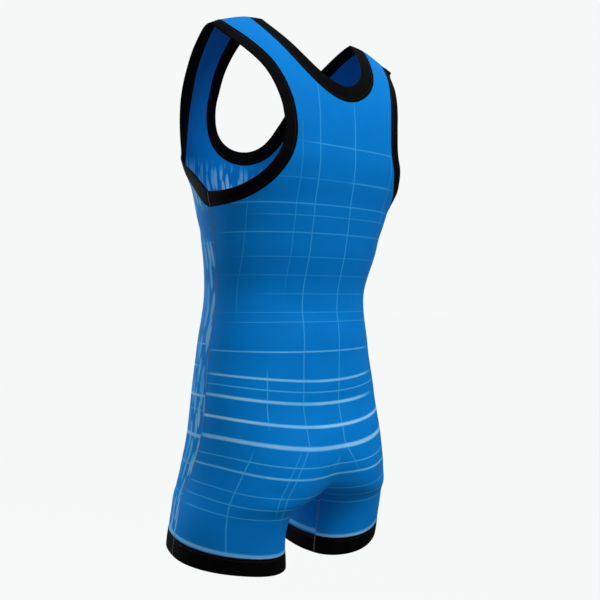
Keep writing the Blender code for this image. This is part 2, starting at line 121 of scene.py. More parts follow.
@dataclass(frozen=True)
class Cut:
    """The sizes that the garment is cut to, in metres. They are those of its solids."""

    cloth: float = 0.0012
    arm_binding: tuple[float, float] = (0.026, 0.018)  # its width in front and at the back
    neck_binding: tuple[float, float] = (0.021, 0.0235)
    arm_change: tuple[float, float] = (-0.120, 0.030)  # y between which one width becomes the other
    arm_flare: float = 0.38  # how far the armhole bindings turn out of the cloth, in radians, at most
    flare_rise: tuple[float, float] = (-0.240, -0.060)  # heights between which the turn grows
    flare_fade: tuple[float, float] = (-0.055, 0.010)  # y between which it fades over the shoulder
    neck_change: tuple[float, float] = (-0.096, 0.004)  # the same for the neck's width
    band_width: float = 0.026
    top: float = -0.003  # shoulder seam, at the neck
    chest: float = -0.205  # above this line the cloth rolls over the shoulders
    arm_bottom: float = -0.275
    hips: float = -0.620  # below this the cloth is measured from the side seam
    crotch: float = -0.700
    hem: float = -0.801
    arch: float = 0.020  # radius of the arch between the legs
    hem_rise: float = 0.13  # the hem climbs this much per metre outward
    hem_drop: float = 0.02  # and falls this much per metre to the back
    hem_pivot: tuple[float, float] = (0.110, -0.072)  # x and y where it is neither lifted nor dropped
    tilt_top: float = -0.640  # the hem's tilt has faded away at this height
    strap_slope: float = 0.41  # fall of the strap's top per metre outward
    strap_level: float = 0.110  # x from which it falls
    strap_ease: float = 0.020  # length over which that fall sets in
    strap_middle: float = 0.139  # x at which the way over the shoulder is measured
    roll: float = 0.25  # way from the chest line up to the shoulder seam
    roll_round: float = 0.35  # how roundly the cloth turns over at the shoulder seam
    arm_reach: float = 0.455  # share of the armhole's height that its rounded bottom takes up
    crotch_row_side: float = -0.672  # height, at the side, of the row that starts at the crotch
    arm_row_middle: float = -0.330  # height, in the middle, of the row to the armhole's bottom
    sections: tuple[Section, ...] = (
        #       height  width  front  back   centre fork_f  fork_b lean   sq_f  sq_b  turn
        Section(-0.801, 0.179, 0.114, 0.074, -0.102, 0.030, 0.030, 0.080, 2.25, 2.25, 0.25),
        Section(-0.750, 0.174, 0.114, 0.080, -0.097, 0.033, 0.033, 0.082, 2.25, 2.25, 0.25),
        Section(-0.717, 0.169, 0.115, 0.085, -0.094, 0.031, 0.031, 0.090, 2.25, 2.25, 0.22),
        Section(-0.700, 0.165, 0.116, 0.088, -0.091, 0.020, 0.020, 0.099, 2.25, 2.25, 0.20),
        Section(-0.665, 0.160, 0.120, 0.098, -0.078, -0.010, 0.000, 0.074, 2.25, 2.25, 0.12),
        Section(-0.615, 0.157, 0.126, 0.103, -0.059, -0.085, -0.040, 0.030, 2.25, 2.25, 0.03),
        Section(-0.555, 0.153, 0.124, 0.104, -0.052, -0.130, -0.110, 0.000, 2.25, 2.25, 0.00),
        Section(-0.485, 0.145, 0.114, 0.104, -0.055, -0.145, -0.145, 0.000, 2.25, 2.25, 0.00),
        Section(-0.405, 0.136, 0.110, 0.091, -0.049, -0.136, -0.136, 0.000, 2.25, 2.25, 0.00),
        Section(-0.335, 0.145, 0.120, 0.102, -0.039, -0.145, -0.145, 0.000, 2.15, 2.40, 0.00),
        Section(-0.275, 0.155, 0.136, 0.114, -0.036, -0.155, -0.155, 0.000, 2.12, 2.65, 0.00),
        Section(-0.240, 0.163, 0.149, 0.1165, -0.029, -0.163, -0.163, 0.000, 2.18, 3.00, 0.00),
        Section(-0.205, 0.175, 0.159, 0.1175, -0.025, -0.175, -0.175, 0.000, 2.25, 3.25, 0.00),
    )
    armhole: tuple[EdgeWidth, ...] = (
        #         height  front  back
        EdgeWidth(-0.275, 0.150, 0.0945),
        EdgeWidth(-0.195, 0.139, 0.0925),
        EdgeWidth(-0.145, 0.139, 0.0965),
        EdgeWidth(-0.115, 0.141, 0.104),
        EdgeWidth(-0.085, 0.147, 0.1155),
        EdgeWidth(-0.055, 0.157, 0.132),
        EdgeWidth(0.000, 0.165, 0.165),
    )
    neck: tuple[EdgeWidth, ...] = (
        EdgeWidth(-0.185, 0.094, 0.095),
        EdgeWidth(-0.125, 0.088, 0.095),
        EdgeWidth(-0.090, 0.092, 0.096),
        EdgeWidth(-0.055, 0.102, 0.098),
        EdgeWidth(0.000, 0.113, 0.113),
    )

    @property
    def band_top(self) -> float:
        """Height of the leg bands' sewing line."""
        return self.hem + self.band_width


class Curve:
    """A smooth curve through the rows of a table that never overshoots them."""

    def __init__(self, heights: Sequence[float], values: Sequence[float], level: bool = False) -> None:
        """Work out the slope at each row.

        Args:
            heights: Height of each row, rising.
            values: Value of each row.
            level: Whether the curve ends level at its last row.
        """
        self.heights = np.array(heights, float)
        self.values = np.array(values, float)
        step = np.diff(self.heights)
        rise = np.diff(self.values) / step
        self.slopes = np.zeros(len(self.values))
        self.slopes[0], self.slopes[-1] = rise[0], rise[-1]
        for i in range(1, len(rise)):
            if rise[i - 1] * rise[i] > 0:
                near, far = 2 * step[i] + step[i - 1], step[i] + 2 * step[i - 1]
                self.slopes[i] = (near + far) / (near / rise[i - 1] + far / rise[i])
        if level:
            self.slopes[-1] = 0.0

    def at(self, height: np.ndarray) -> np.ndarray:
        """Value at each height; past the ends, the end row's.

        Args:
            height: One height or an array of them.

        Returns:
            The values, in the same shape.
        """
        height = np.clip(height, self.heights[0], self.heights[-1])
        last = len(self.heights) - 2
        i = np.clip(np.searchsorted(self.heights, height, side="right") - 1, 0, last)
        step = self.heights[i + 1] - self.heights[i]
        u = (height - self.heights[i]) / step
        return (
            self.values[i] * (1 + 2 * u) * (1 - u) ** 2
            + self.slopes[i] * step * u * (1 - u) ** 2
            + self.values[i + 1] * u * u * (3 - 2 * u)
            + self.slopes[i + 1] * step * u * u * (u - 1)
        )


def curves(rows: Sequence[NamedTuple], level: bool = False) -> dict[str, Curve]:
    """One curve for each column of a table but its heights.

    Args:
        rows: The table's rows, the lowest first.
        level: Whether the curves end level at the last row.

    Returns:
        The curves by column name.
    """
    heights = [row.height for row in rows]
    names = rows[0]._fields[1:]
    return {name: Curve(heights, [getattr(row, name) for row in rows], level) for name in names}


def bowl(share: np.ndarray, power: float) -> np.ndarray:
    """Width of an opening's rounded bottom, 0 to 1, at a share of its height.

    Args:
        share: Share of the bottom's height, clipped to 0 to 1.
        power: Its roundness.

    Returns:
        The share of the full width.
    """
    return (1 - (1 - np.clip(share, 0.0, 1.0)) ** power) ** (1 / power)


def soft_step(value: np.ndarray, between: tuple[float, float]) -> np.ndarray:
    """0 before the first of two values, 1 past the second, and a soft rise from one to the other.

    Args:
        value: Where to look.
        between: The two values.

    Returns:
        The shares.
    """
    share = np.clip((value - between[0]) / (between[1] - between[0]), 0.0, 1.0)
    return share * share * (3 - 2 * share)


def lengths(points: np.ndarray) -> np.ndarray:
    """Distance along a line of points to each of them.

    Args:
        points: One point a row.

    Returns:
        The distances, the first 0.
    """
    return np.concatenate([[0.0], np.cumsum(np.linalg.norm(np.diff(points, axis=0), axis=1))])


def at_stops(stops: np.ndarray, run: np.ndarray, values: np.ndarray) -> np.ndarray:
    """Points or vectors at given ways along a row of points.

    Args:
        stops: The ways.
        run: The way at each of the row's points.
        values: What the row has at each of its points.

    Returns:
        One point or vector for each stop.
    """
    return np.stack([np.interp(stops, run, values[:, k]) for k in range(3)], axis=1)


class Form:
    """The outer face of the cloth.

    A place on it is (t, x): t is the height above the chest line while that is negative, and from
    0 to the cut's roll it goes on over the shoulder to its seam; x is the distance to the left.
    """

    def __init__(self, cut: Cut) -> None:
        """Make the curves through the cut's tables.

        Args:
            cut: The garment's sizes.
        """
        self.cut = cut
        self.body = curves(cut.sections, level=True)
        self.arm = curves(cut.armhole)
        self.collar = curves(cut.neck)

    def from_middle(self, height: np.ndarray, x: np.ndarray) -> np.ndarray:
        """Distance from the middle of the body, rounded off over the arch's radius.

        Args:
            height: Height of each point.
            x: Its distance to the left.

        Returns:
            The rounded distances.
        """
        share = np.minimum(np.abs(x) / self.body["half_width"].at(height), 1.0)
        return np.sqrt(x * x + self.cut.arch**2 * (1 - share * share))

    def inseam_fork(self, height: np.ndarray) -> np.ndarray:
        """Where both faces close at the inseam of a leg."""
        return (self.body["fork_front"].at(height) + self.body["fork_back"].at(height)) / 2

    def depth(self, height: np.ndarray, x: np.ndarray, face: Face) -> np.ndarray:
        """How far the cloth stands in front of or behind the seams.

        Args:
            height: Height of each point.
            x: Its distance to the left.
            face: Front or back.

        Returns:
            The depths, never negative.
        """
        half_width = self.body["half_width"].at(height)
        own_fork = self.body["fork_" + face.name].at(height)
        fork = np.where(height < self.cut.crotch, self.inseam_fork(height), own_fork)
        square = self.body["square_" + face.name].at(height)
        reach, middle = (half_width - fork) / 2, (half_width + fork) / 2
        share = np.minimum(np.abs(self.from_middle(height, x) - middle) / reach, 1.0)
        return self.body[face.name].at(height) * (1 - share**square) ** (1 / square)

    def seam_y(self, height: np.ndarray, x: np.ndarray) -> np.ndarray:
        """y of the surface that holds the side seams and the inseams.

        Args:
            height: Height of each point.
            x: Its distance to the left.

        Returns:
            The y of each point.
        """
        half_width = self.body["half_width"].at(height)
        share = (half_width - self.from_middle(height, x)) / (half_width - self.cut.arch)
        return self.body["centre"].at(height) + self.body["lean"].at(height) * share

    def hem_tilt(self, height: np.ndarray, x: np.ndarray, y: np.ndarray) -> np.ndarray:
        """How far each point is lifted by the tilt of the hem.

        Args:
            height: Height of each point.
            x: Its distance to the left.
            y: Its distance to the back.

        Returns:
            The lifts.
        """
        cut = self.cut
        share = np.clip((cut.tilt_top - height) / (cut.tilt_top - cut.band_top), 0.0, 1.0)
        rise = cut.hem_rise * (np.abs(x) - cut.hem_pivot[0])
        return share**2 * (rise - cut.hem_drop * (y - cut.hem_pivot[1]))

    def surface(self, t: np.ndarray, x: np.ndarray, face: Face) -> np.ndarray:
        """Points of the cloth's outer face.

        Args:
            t: Place of each point up the cloth.
            x: Its distance to the left.
            face: Front or back.

        Returns:
            The points, in the arrays' shape with three values more.
        """
        cut = self.cut
        t, x = np.broadcast_arrays(np.asarray(t, float), np.asarray(x, float))
        height = np.minimum(cut.chest + t, cut.chest)
        low_y = self.seam_y(height, x) + face.sign * self.depth(height, x, face)
        low_z = height + self.hem_tilt(height, x, low_y)
        turn = np.clip(t / cut.roll, 0.0, 1.0) * pi / 2
        level, climb = np.cos(turn), np.sin(turn)
        fullness = (level**2 + cut.roll_round**2) / (1 + cut.roll_round**2)
        chest = np.full(x.shape, cut.chest)
        chest_y = self.body["centre"].at(chest) + face.sign * self.depth(chest, x, face)
        reach = np.maximum(0.0, np.abs(x) - cut.strap_level)
        top = cut.top - cut.strap_slope * reach**2 / (reach + cut.strap_ease)
        high_y = chest_y * level * fullness ** ((face.depth_power - 1) / 2)
        high_z = cut.chest + (top - cut.chest) * climb**face.height_power
        y, z = np.where(t <= 0, low_y, high_y), np.where(t <= 0, low_z, high_z)
        turned_in = self.body["turn"].at(height) * (y - self.body["centre"].at(height))
        beside = x * np.abs(x) / (x * x + cut.arch**2)
        return np.stack([x + turned_in * beside, y, z], axis=-1)

    def height_of(self, t: np.ndarray, face: Face) -> np.ndarray:
        """Height of a place up the cloth, before the fall of the strap and the tilt of the hem.

        Args:
            t: Place of each point up the cloth.
            face: Front or back.

        Returns:
            The heights.
        """
        cut = self.cut
        climb = np.sin(np.clip(np.asarray(t) / cut.roll, 0.0, 1.0) * pi / 2) ** face.height_power
        return np.where(np.asarray(t) <= 0, cut.chest + t, cut.chest + (cut.top - cut.chest) * climb)

    def row_at(self, height: float, face: Face) -> float:
        """Place up the cloth at a height, the inverse of height_of.

        Args:
            height: The height.
            face: Front or back.

        Returns:
            Its t.
        """
        cut = self.cut
        if height <= cut.chest:
            return height - cut.chest
        share = (height - cut.chest) / (cut.top - cut.chest)
        return asin(share ** (1 / face.height_power)) * cut.roll * 2 / pi

    def girth_x(self, t: np.ndarray, face: Face) -> np.ndarray:
        """Half the width of the body, as if it had no armholes.

        Args:
            t: Place of each point up the cloth.
            face: Front or back.

        Returns:
            The half widths.
        """
        return self.body["half_width"].at(np.minimum(self.height_of(t, face), self.cut.chest))

    def outer_x(self, t: np.ndarray, face: Face) -> np.ndarray:
        """Outer edge of the panel: the side seam, or the armhole above it.

        Args:
            t: Place of each point up the cloth.
            face: Front or back.

        Returns:
            The x of the edge.
        """
        cut = self.cut
        height, half_width = self.height_of(t, face), self.girth_x(t, face)
        share = (height - cut.arm_bottom) / (cut.top - cut.arm_bottom) / cut.arm_reach
        width = np.minimum(self.arm[face.name].at(height) / half_width, 1.0)
        clear = 1 - np.arcsin(width) * 2 / pi
        edge = half_width * np.cos(clear * bowl(share, face.arm_power) * pi / 2)
        return np.where(height <= cut.arm_bottom, half_width, edge)

    def inner_x(self, t: np.ndarray, face: Face) -> np.ndarray:
        """Inner edge of the panel's half: the inseam, the middle of the body, or the neck.

        Args:
            t: Place of each point up the cloth.
            face: Front or back.

        Returns:
            The x of the edge.
        """
        cut = self.cut
        height = self.height_of(t, face)
        share = (height - face.neck_bottom) / (cut.top - face.neck_bottom) / face.neck_reach
        neck = self.collar[face.name].at(height) * bowl(share, face.neck_power)
        fork, half_width = self.inseam_fork(height), self.body["half_width"].at(height)
        spread = np.maximum(0.0, (fork**2 - cut.arch**2) / (1 - (cut.arch / half_width) ** 2))
        return np.where(height < cut.crotch, np.sqrt(spread), neck)

    def arm_flare(self, points: np.ndarray) -> np.ndarray:
        """How far an armhole's binding turns out of the cloth: most at the front of the strap.

        Args:
            points: Points of the armhole's sewing line.

        Returns:
            An angle a point, in radians.
        """
        cut = self.cut
        in_front = 1 - soft_step(points[:, 1], cut.flare_fade)
        return cut.arm_flare * soft_step(points[:, 2], cut.flare_rise) * in_front

    def normal(self, t: np.ndarray, x: np.ndarray, face: Face) -> np.ndarray:
        """Direction straight out of the cloth.

        Args:
            t: Place of each point up the cloth.
            x: Its distance to the left.
            face: Front or back.

        Returns:
            One unit vector a point.
        """
        step, margin = 0.0002, 0.002
        x = np.clip(x, 0.0, self.girth_x(t, face) - margin)
        t = np.minimum(t, self.cut.roll - 2 * step)
        across = self.surface(t, x + step, face) - self.surface(t, x - step, face)
        up = self.surface(t + step, x, face) - self.surface(t - step, x, face)
        return unit(np.cross(across, up)) * (-face.sign)


class SewingLine:
    """A line where pieces are sewn, with the directions out of the cloth and on across the opening."""

    def __init__(self, points: np.ndarray, across: np.ndarray, out: np.ndarray, closed: bool) -> None:
        """Keep the line.

        Args:
            points: Its points in order.
            across: At each point, the way on from the panel into the opening.
            out: At each point, the way out of the cloth.
            closed: Whether the last point joins the first.
        """
        self.points, self.across, self.out, self.closed = points, across, out, closed

    @classmethod
    def round_opening(cls, points: np.ndarray, normals: np.ndarray, ease: int) -> "SewingLine":
        """Work out the directions along a closed line round an opening.

        Args:
            points: Its points in order.
            normals: The cloth's normal at each point.
            ease: Points on each side over which the directions are evened out.

        Returns:
            The sewing line.
        """
        along = unit(np.roll(points, -1, axis=0) - np.roll(points, 1, axis=0))
        across = unit(np.cross(normals, along))
        if (across * (points.mean(axis=0) - points)).sum() < 0:
            across = -across
        across = cls.evened(across, ease)
        across = unit(across - along * (across * along).sum(axis=1, keepdims=True))
        out = unit(np.cross(along, across))
        if (out * normals).sum() < 0:
            out = -out
        return cls(points, across, out, True)

    @staticmethod
    def evened(vectors: np.ndarray, ease: int) -> np.ndarray:
        """Directions round a closed line averaged with their neighbours.

        Args:
            vectors: One a point.
            ease: Neighbours on each side.

        Returns:
            The unit averages.
        """
        steps = range(-ease, ease + 1)
        return unit(sum(np.roll(vectors, step, axis=0) * (ease + 1 - abs(step)) for step in steps))

    def mirrored(self) -> "SewingLine":
        """The same line on the wearer's other side."""
        flip = np.array((-1, 1, 1))
        return SewingLine(self.points * flip, self.across * flip, self.out * flip, self.closed)

    def turned_out(self, angles: np.ndarray) -> "SewingLine":
        """The same line with its way across turned out of the cloth.

        Args:
            angles: How far at each point, in radians.

        Returns:
            The turned line.
        """
        lean = angles[:, None]
        across = self.across * np.cos(lean) + self.out * np.sin(lean)
        out = self.out * np.cos(lean) - self.across * np.sin(lean)
        return SewingLine(self.points, across, out, self.closed)

    def moved(self, across: float, out: float) -> np.ndarray:
        """The line's points moved across the opening and out of the cloth."""
        return self.points + self.across * across + self.out * out

    def length(self) -> float:
        """Length of the line, once round."""
        ends = np.roll(self.points, -1, axis=0) if self.closed else self.points[1:]
        starts = self.points if self.closed else self.points[:-1]
        return float(np.linalg.norm(ends - starts, axis=1).sum())


@dataclass(frozen=True)
class Mesh:
    """How finely the cloth is divided."""

    columns: int = 56
    leg_rows: int = 20
    trunk_rows: int = 76
    arm_rows: int = 96
    yoke_rows: tuple[int, int] = (28, 44)  # armhole's bottom to neck's bottom, front and back
    trials: int = 301  # trial points along a line, which measure its length
    ease: int = 5  # points on each side over which an opening's directions are evened out
    band_ease: int = 3  # the same round a leg band

    @property
    def crotch(self) -> int:
        """Index of the row that starts at the crotch."""
        return self.leg_rows

    @property
    def arm(self) -> int:
        """Index of the row that ends at the bottom of the armhole."""
        return self.leg_rows + self.trunk_rows

    def neck(self, face: Face) -> int:
        """Index of the row that starts at the bottom of the neck."""
        return self.arm + self.yoke_rows[0 if face is FRONT else 1]


class Crease(NamedTuple):
    """A soft trough in the cloth, or a ridge where its depth is negative.

    Its ends are (u, v): u is the distance round the body from the middle of the panel, and v the
    height on the unturned cloth.
    """

    start: tuple[float, float]
    end: tuple[float, float]
    depth: float
    width: float


class HalfPanel:
    """The left half of a panel as a grid of points, with their places on the cloth."""

    def __init__(self, form: Form, mesh: Mesh, face: Face) -> None:
        """Lay out the grid.

        Args:
            form: The garment's form.
            mesh: How finely it is divided.
            face: Front or back.
        """
        self.form, self.mesh, self.face = form, mesh, face
        self.inner, self.outer = self.row_ends()
        self.t, self.x = self.row_places()
        self.points = form.surface(self.t, self.x, face)
        self.normals = form.normal(self.t, self.x, face)
        self.round = self.way_round()
        self.level = self.way_up()

    def evenly(self, edge: Callable, start: float, end: float, count: int) -> np.ndarray:
        """Places that split an edge of the panel into equal lengths.

        Args:
            edge: The edge's x at a place.
            start: First place.
            end: Last place.
            count: How many lengths.

        Returns:
            The places from start to end.
        """
        fine = start + (end - start) * np.linspace(0, 1, self.mesh.trials) ** 3
        length = lengths(self.form.surface(fine, edge(fine, self.face), self.face))
        return np.interp(np.linspace(0, length[-1], count + 1), length, fine)

    def row_ends(self) -> tuple[np.ndarray, np.ndarray]:
        """Place of each row at its inner and at its outer edge, from the leg band to the shoulder.

        Returns:
            The places at the inner edge and at the outer edge.
        """
        cut, mesh, face, form = self.form.cut, self.mesh, self.face, self.form
        yoke = mesh.neck(face) - mesh.arm
        marks = (cut.band_top, cut.crotch, cut.arm_row_middle, face.neck_bottom)
        hem, crotch, middle, neck = (form.row_at(height, face) for height in marks)
        side, arm = form.row_at(cut.crotch_row_side, face), form.row_at(cut.arm_bottom, face)
        inner = (
            self.evenly(form.inner_x, crotch, hem, mesh.leg_rows)[::-1],
            self.evenly(form.inner_x, crotch, middle, mesh.trunk_rows)[1:],
            self.evenly(form.inner_x, middle, neck, yoke)[1:],
            self.evenly(form.inner_x, neck, cut.roll, mesh.arm_rows - yoke)[1:],
        )
        outer = (
            self.evenly(form.outer_x, side, hem, mesh.leg_rows)[::-1],
            self.evenly(form.outer_x, side, arm, mesh.trunk_rows)[1:],
            self.evenly(form.outer_x, arm, cut.roll, mesh.arm_rows)[1:],
        )
        return np.concatenate(inner), np.concatenate(outer)

    def row_places(self) -> tuple[np.ndarray, np.ndarray]:
        """Place and x of every point, evenly spaced along each row.

        Returns:
            The places and the x, a row of the panel in each row.
        """
        form, face = self.form, self.face
        start, end = form.inner_x(self.inner, face), form.outer_x(self.outer, face)
        on_leg = (form.height_of(self.inner, face) < form.cut.crotch - 1e-9)[:, None]
        first = np.arcsin(np.clip(start / form.girth_x(self.inner, face), 0, 1))[:, None]
        last = np.arcsin(np.clip(end / form.girth_x(self.outer, face), 0, 1))[:, None]

        def places(shares: np.ndarray) -> tuple[np.ndarray, np.ndarray]:
            """Place and x at each share of the way along each row."""
            t = self.inner[:, None] + (self.outer - self.inner)[:, None] * shares
            leg_x = start[:, None] + (end - start)[:, None] * (1 - np.cos(shares * pi)) / 2
            body_x = form.girth_x(t, face) * np.sin(first + (last - first) * shares)
            return t, np.where(on_leg, leg_x, body_x)

        trial = np.linspace(0, 1, self.mesh.trials)
        rows = form.surface(*places(trial[None, :]), face)
        steps = np.linalg.norm(np.diff(rows, axis=1), axis=2)
        run = np.concatenate([np.zeros((len(rows), 1)), np.cumsum(steps, axis=1)], axis=1)
        stops = np.linspace(0, 1, self.mesh.columns + 1)
        shares = np.array([np.interp(stops * length[-1], length, trial) for length in run])
        return places(shares)

    def way_round(self) -> np.ndarray:
        """Distance round the body of each point from the middle of the panel.

        On the legs it is measured back from the side seam, so that it goes on smoothly there.

        Returns:
            The distances, in the grid's shape.
        """
        form, face = self.form, self.face
        levels = np.linspace(self.t.min(), form.cut.roll, self.mesh.trials)
        turns = np.linspace(0, pi / 2, self.mesh.trials)
        girth = form.girth_x(levels, face)[:, None]
        rows = form.surface(levels[:, None] + 0 * turns, girth * np.sin(turns), face)
        steps = np.linalg.norm(np.diff(rows, axis=1), axis=2)
        run = np.concatenate([np.zeros((len(rows), 1)), np.cumsum(steps, axis=1)], axis=1)
        turn = np.arcsin(np.clip(self.x / form.girth_x(self.t, face), 0, 1))
        row = (self.t - levels[0]) / (levels[1] - levels[0])
        column = turn / (turns[1] - turns[0])
        i = np.clip(row.astype(int), 0, len(levels) - 2)
        j = np.clip(column.astype(int), 0, len(turns) - 2)
        a, b = row - i, column - j
        low = run[i, j] * (1 - b) + run[i, j + 1] * b
        high = run[i + 1, j] * (1 - b) + run[i + 1, j + 1] * b
        hips = form.row_at(form.cut.hips, face)
        whole = np.interp(self.t, levels, run[:, -1])
        at_hips = np.interp(np.maximum(self.t, hips), levels, run[:, -1])
        return low * (1 - a) + high * a - whole + at_hips

    def way_up(self) -> np.ndarray:
        """Height of each point; above the chest line, the way on over the shoulder instead.

        Returns:
            The heights, in the grid's shape.
        """
        form = self.form
        places = np.linspace(0, form.cut.roll, self.mesh.trials)
        way = lengths(form.surface(places, np.full(len(places), form.cut.strap_middle), self.face))
        return form.cut.chest + np.where(self.t <= 0, self.t, np.interp(self.t, places, way))

    def edge(self, first: int, column: int) -> tuple[np.ndarray, np.ndarray]:
        """Points and normals up one edge, from a row on."""
        return self.points[first:, column], self.normals[first:, column]


class Shape:
    """Both panels and the lines where they and the trims are sewn."""

    def __init__(self, cut: Cut, mesh: Mesh) -> None:
        """Work out the panels and the lines.

        Args:
            cut: The garment's sizes.
            mesh: How finely it is divided.
        """
        self.cut, self.mesh, self.form = cut, mesh, Form(cut)
        self.half = {face: HalfPanel(self.form, mesh, face) for face in (FRONT, BACK)}
        self.armhole = self.armhole_line()
        self.neck = self.neck_line()

    def armhole_line(self) -> SewingLine:
        """Round the left armhole: up the front and down the back."""
        front = self.half[FRONT].edge(self.mesh.arm, -1)
        back = self.half[BACK].edge(self.mesh.arm, -1)
        loop = [np.concatenate([up, down[-2:0:-1]]) for up, down in zip(front, back)]
        line = SewingLine.round_opening(loop[0], loop[1], self.mesh.ease)
        return line.turned_out(self.form.arm_flare(line.points))

    def neck_line(self) -> SewingLine:
        """Round the neck: up the front's left half, down the back's, and the same on the right."""
        front = self.half[FRONT].edge(self.mesh.neck(FRONT), 0)
        back = self.half[BACK].edge(self.mesh.neck(BACK), 0)
        left = [np.concatenate([up, down[-2::-1]]) for up, down in zip(front, back)]
        loop = [np.concatenate([line, line[-2:0:-1] * (-1, 1, 1)]) for line in left]
        return SewingLine.round_opening(loop[0], loop[1], self.mesh.ease)

    def leg_line(self, height: float) -> np.ndarray:
        """Points round the left leg at one height of the unturned cloth.

        Args:
            height: The height.

        Returns:
            The points, round the front and back along the back.
        """
        t = self.form.row_at(height, FRONT)
        loops = []
        for face in (FRONT, BACK):
            start, end = self.form.inner_x(t, face), self.form.outer_x(t, face)
            fine = start + (end - start) * (1 - np.cos(np.linspace(0, pi, self.mesh.trials))) / 2
            row = self.form.surface(t, fine, face)
            length = lengths(row)
            stops = np.linspace(0, length[-1], self.mesh.columns + 1)
            loops.append(at_stops(stops, length, row))
        return np.concatenate([loops[0], loops[1][-2:0:-1]])

    def band_line(self) -> SewingLine:
        """Round the top of the left leg band, with the way down to its hem."""
        top, hem = self.leg_line(self.cut.band_top), self.leg_line(self.cut.hem)
        down = SewingLine.evened(unit(hem - top), self.mesh.band_ease)
        along = unit(np.roll(top, -1, axis=0) - np.roll(top, 1, axis=0))
        down = unit(down - along * (down * along).sum(axis=1, keepdims=True))
        out = unit(np.cross(down, along))
        if (out * (top - top.mean(axis=0))).sum() < 0:
            out = -out
        return SewingLine(top, down, out, True)

    def side_seam(self) -> SewingLine:
        """Up the left side seam, from the leg band to the armhole."""
        front, back = self.half[FRONT], self.half[BACK]
        last = self.mesh.arm + 1
        out = unit(front.normals[:last, -1] + back.normals[:last, -1])
        return self.open_line(front.points[:last, -1], out)

    def inseam(self) -> SewingLine:
        """Up the inside of the left leg, through the crotch and down the right."""
        front, back = self.half[FRONT], self.half[BACK]
        last = self.mesh.crotch + 1
        points = front.points[:last, 0].copy()
        out = unit(front.normals[:last, 0] + back.normals[:last, 0])
        flip = np.array((-1, 1, 1))
        return self.open_line(
            np.concatenate([points, points[-2::-1] * flip]),
            np.concatenate([out, out[-2::-1] * flip]),
        )

    def shoulder_seam(self) -> SewingLine:
        """Across the top of the left strap, from the neck to the armhole."""
        front, back = self.half[FRONT], self.half[BACK]
        return self.open_line(front.points[-1], unit(front.normals[-1] + back.normals[-1]))

    @staticmethod
    def open_line(points: np.ndarray, out: np.ndarray) -> SewingLine:
        """A sewing line with two ends."""
        along = unit(np.gradient(points, axis=0))
        return SewingLine(points, unit(np.cross(out, along)), out, False)


class Nodes:
    """A material's or a group's node tree, with short calls for the nodes it needs."""

    def __init__(self, tree: bpy.types.NodeTree) -> None:
        """Keep the tree."""
        self.tree = tree

    def add(self, kind: str, **settings: object) -> bpy.types.Node:
        """Add a node.

        Args:
            kind: Its type.
            settings: Properties to set on it.

        Returns:
            The node.
        """
        node = self.tree.nodes.new(kind)
        for name, value in settings.items():
            setattr(node, name, value)
        return node

    def feed(self, socket: bpy.types.NodeSocket, value: object) -> None:
        """Link or set an input.

        Args:
            socket: The input.
            value: An output to link, or a plain value.
        """
        if isinstance(value, bpy.types.NodeSocket):
            self.tree.links.new(value, socket)
        else:
            socket.default_value = value

    def maths(self, operation: str, first: object, second: object = 0.0) -> bpy.types.NodeSocket:
        """Result of a Math node.

        Args:
            operation: What it does.
            first: Its first value.
            second: Its second value.

        Returns:
            The output.
        """
        node = self.add("ShaderNodeMath", operation=operation)
        self.feed(node.inputs[0], first)
        self.feed(node.inputs[1], second)
        return node.outputs[0]

    def ease(self, value: object, low: object, high: object) -> bpy.types.NodeSocket:
        """A soft step from 0 at low to 1 at high.

        Args:
            value: What is measured.
            low: Where the step starts.
            high: Where it ends.

        Returns:
            The output.
        """
        node = self.add("ShaderNodeMapRange", interpolation_type="SMOOTHSTEP")
        for name, given in (("Value", value), ("From Min", low), ("From Max", high)):
            self.feed(node.inputs[name], given)
        return node.outputs["Result"]

    def noise(self, vector: object, scale: float, detail: float) -> bpy.types.NodeSocket:
        """Soft noise from 0 to 1.

        Args:
            vector: Where it is read.
            scale: Lumps a metre.
            detail: Finer layers.

        Returns:
            The output.
        """
        node = self.add("ShaderNodeTexNoise")
        self.feed(node.inputs["Vector"], vector)
        node.inputs["Scale"].default_value = scale
        node.inputs["Detail"].default_value = detail
        return node.outputs["Fac"]

    def ramp(self, value: object, stops: Sequence[tuple[float, Colour]]) -> bpy.types.NodeSocket:
        """Colour along a ramp.

        Args:
            value: Place on the ramp.
            stops: Each stop's place and colour.

        Returns:
            The colour output.
        """
        node = self.add("ShaderNodeValToRGB")
        elements = node.color_ramp.elements
        while len(elements) < len(stops):
            elements.new(1.0)
        for element, (place, colour) in zip(elements, stops):
            element.position, element.color = place, colour
        self.feed(node.inputs["Fac"], value)
        return node.outputs["Color"]

    def bump(self, height: object, strength: float, distance: float) -> bpy.types.NodeSocket:
        """Normal of a relief.

        Args:
            height: The relief, 0 to 1.
            strength: Share of it that shows.
            distance: Its real height in metres.

        Returns:
            The normal output.
        """
        node = self.add("ShaderNodeBump")
        node.inputs["Strength"].default_value = strength
        node.inputs["Distance"].default_value = distance
        self.feed(node.inputs["Height"], height)
        return node.outputs["Normal"]


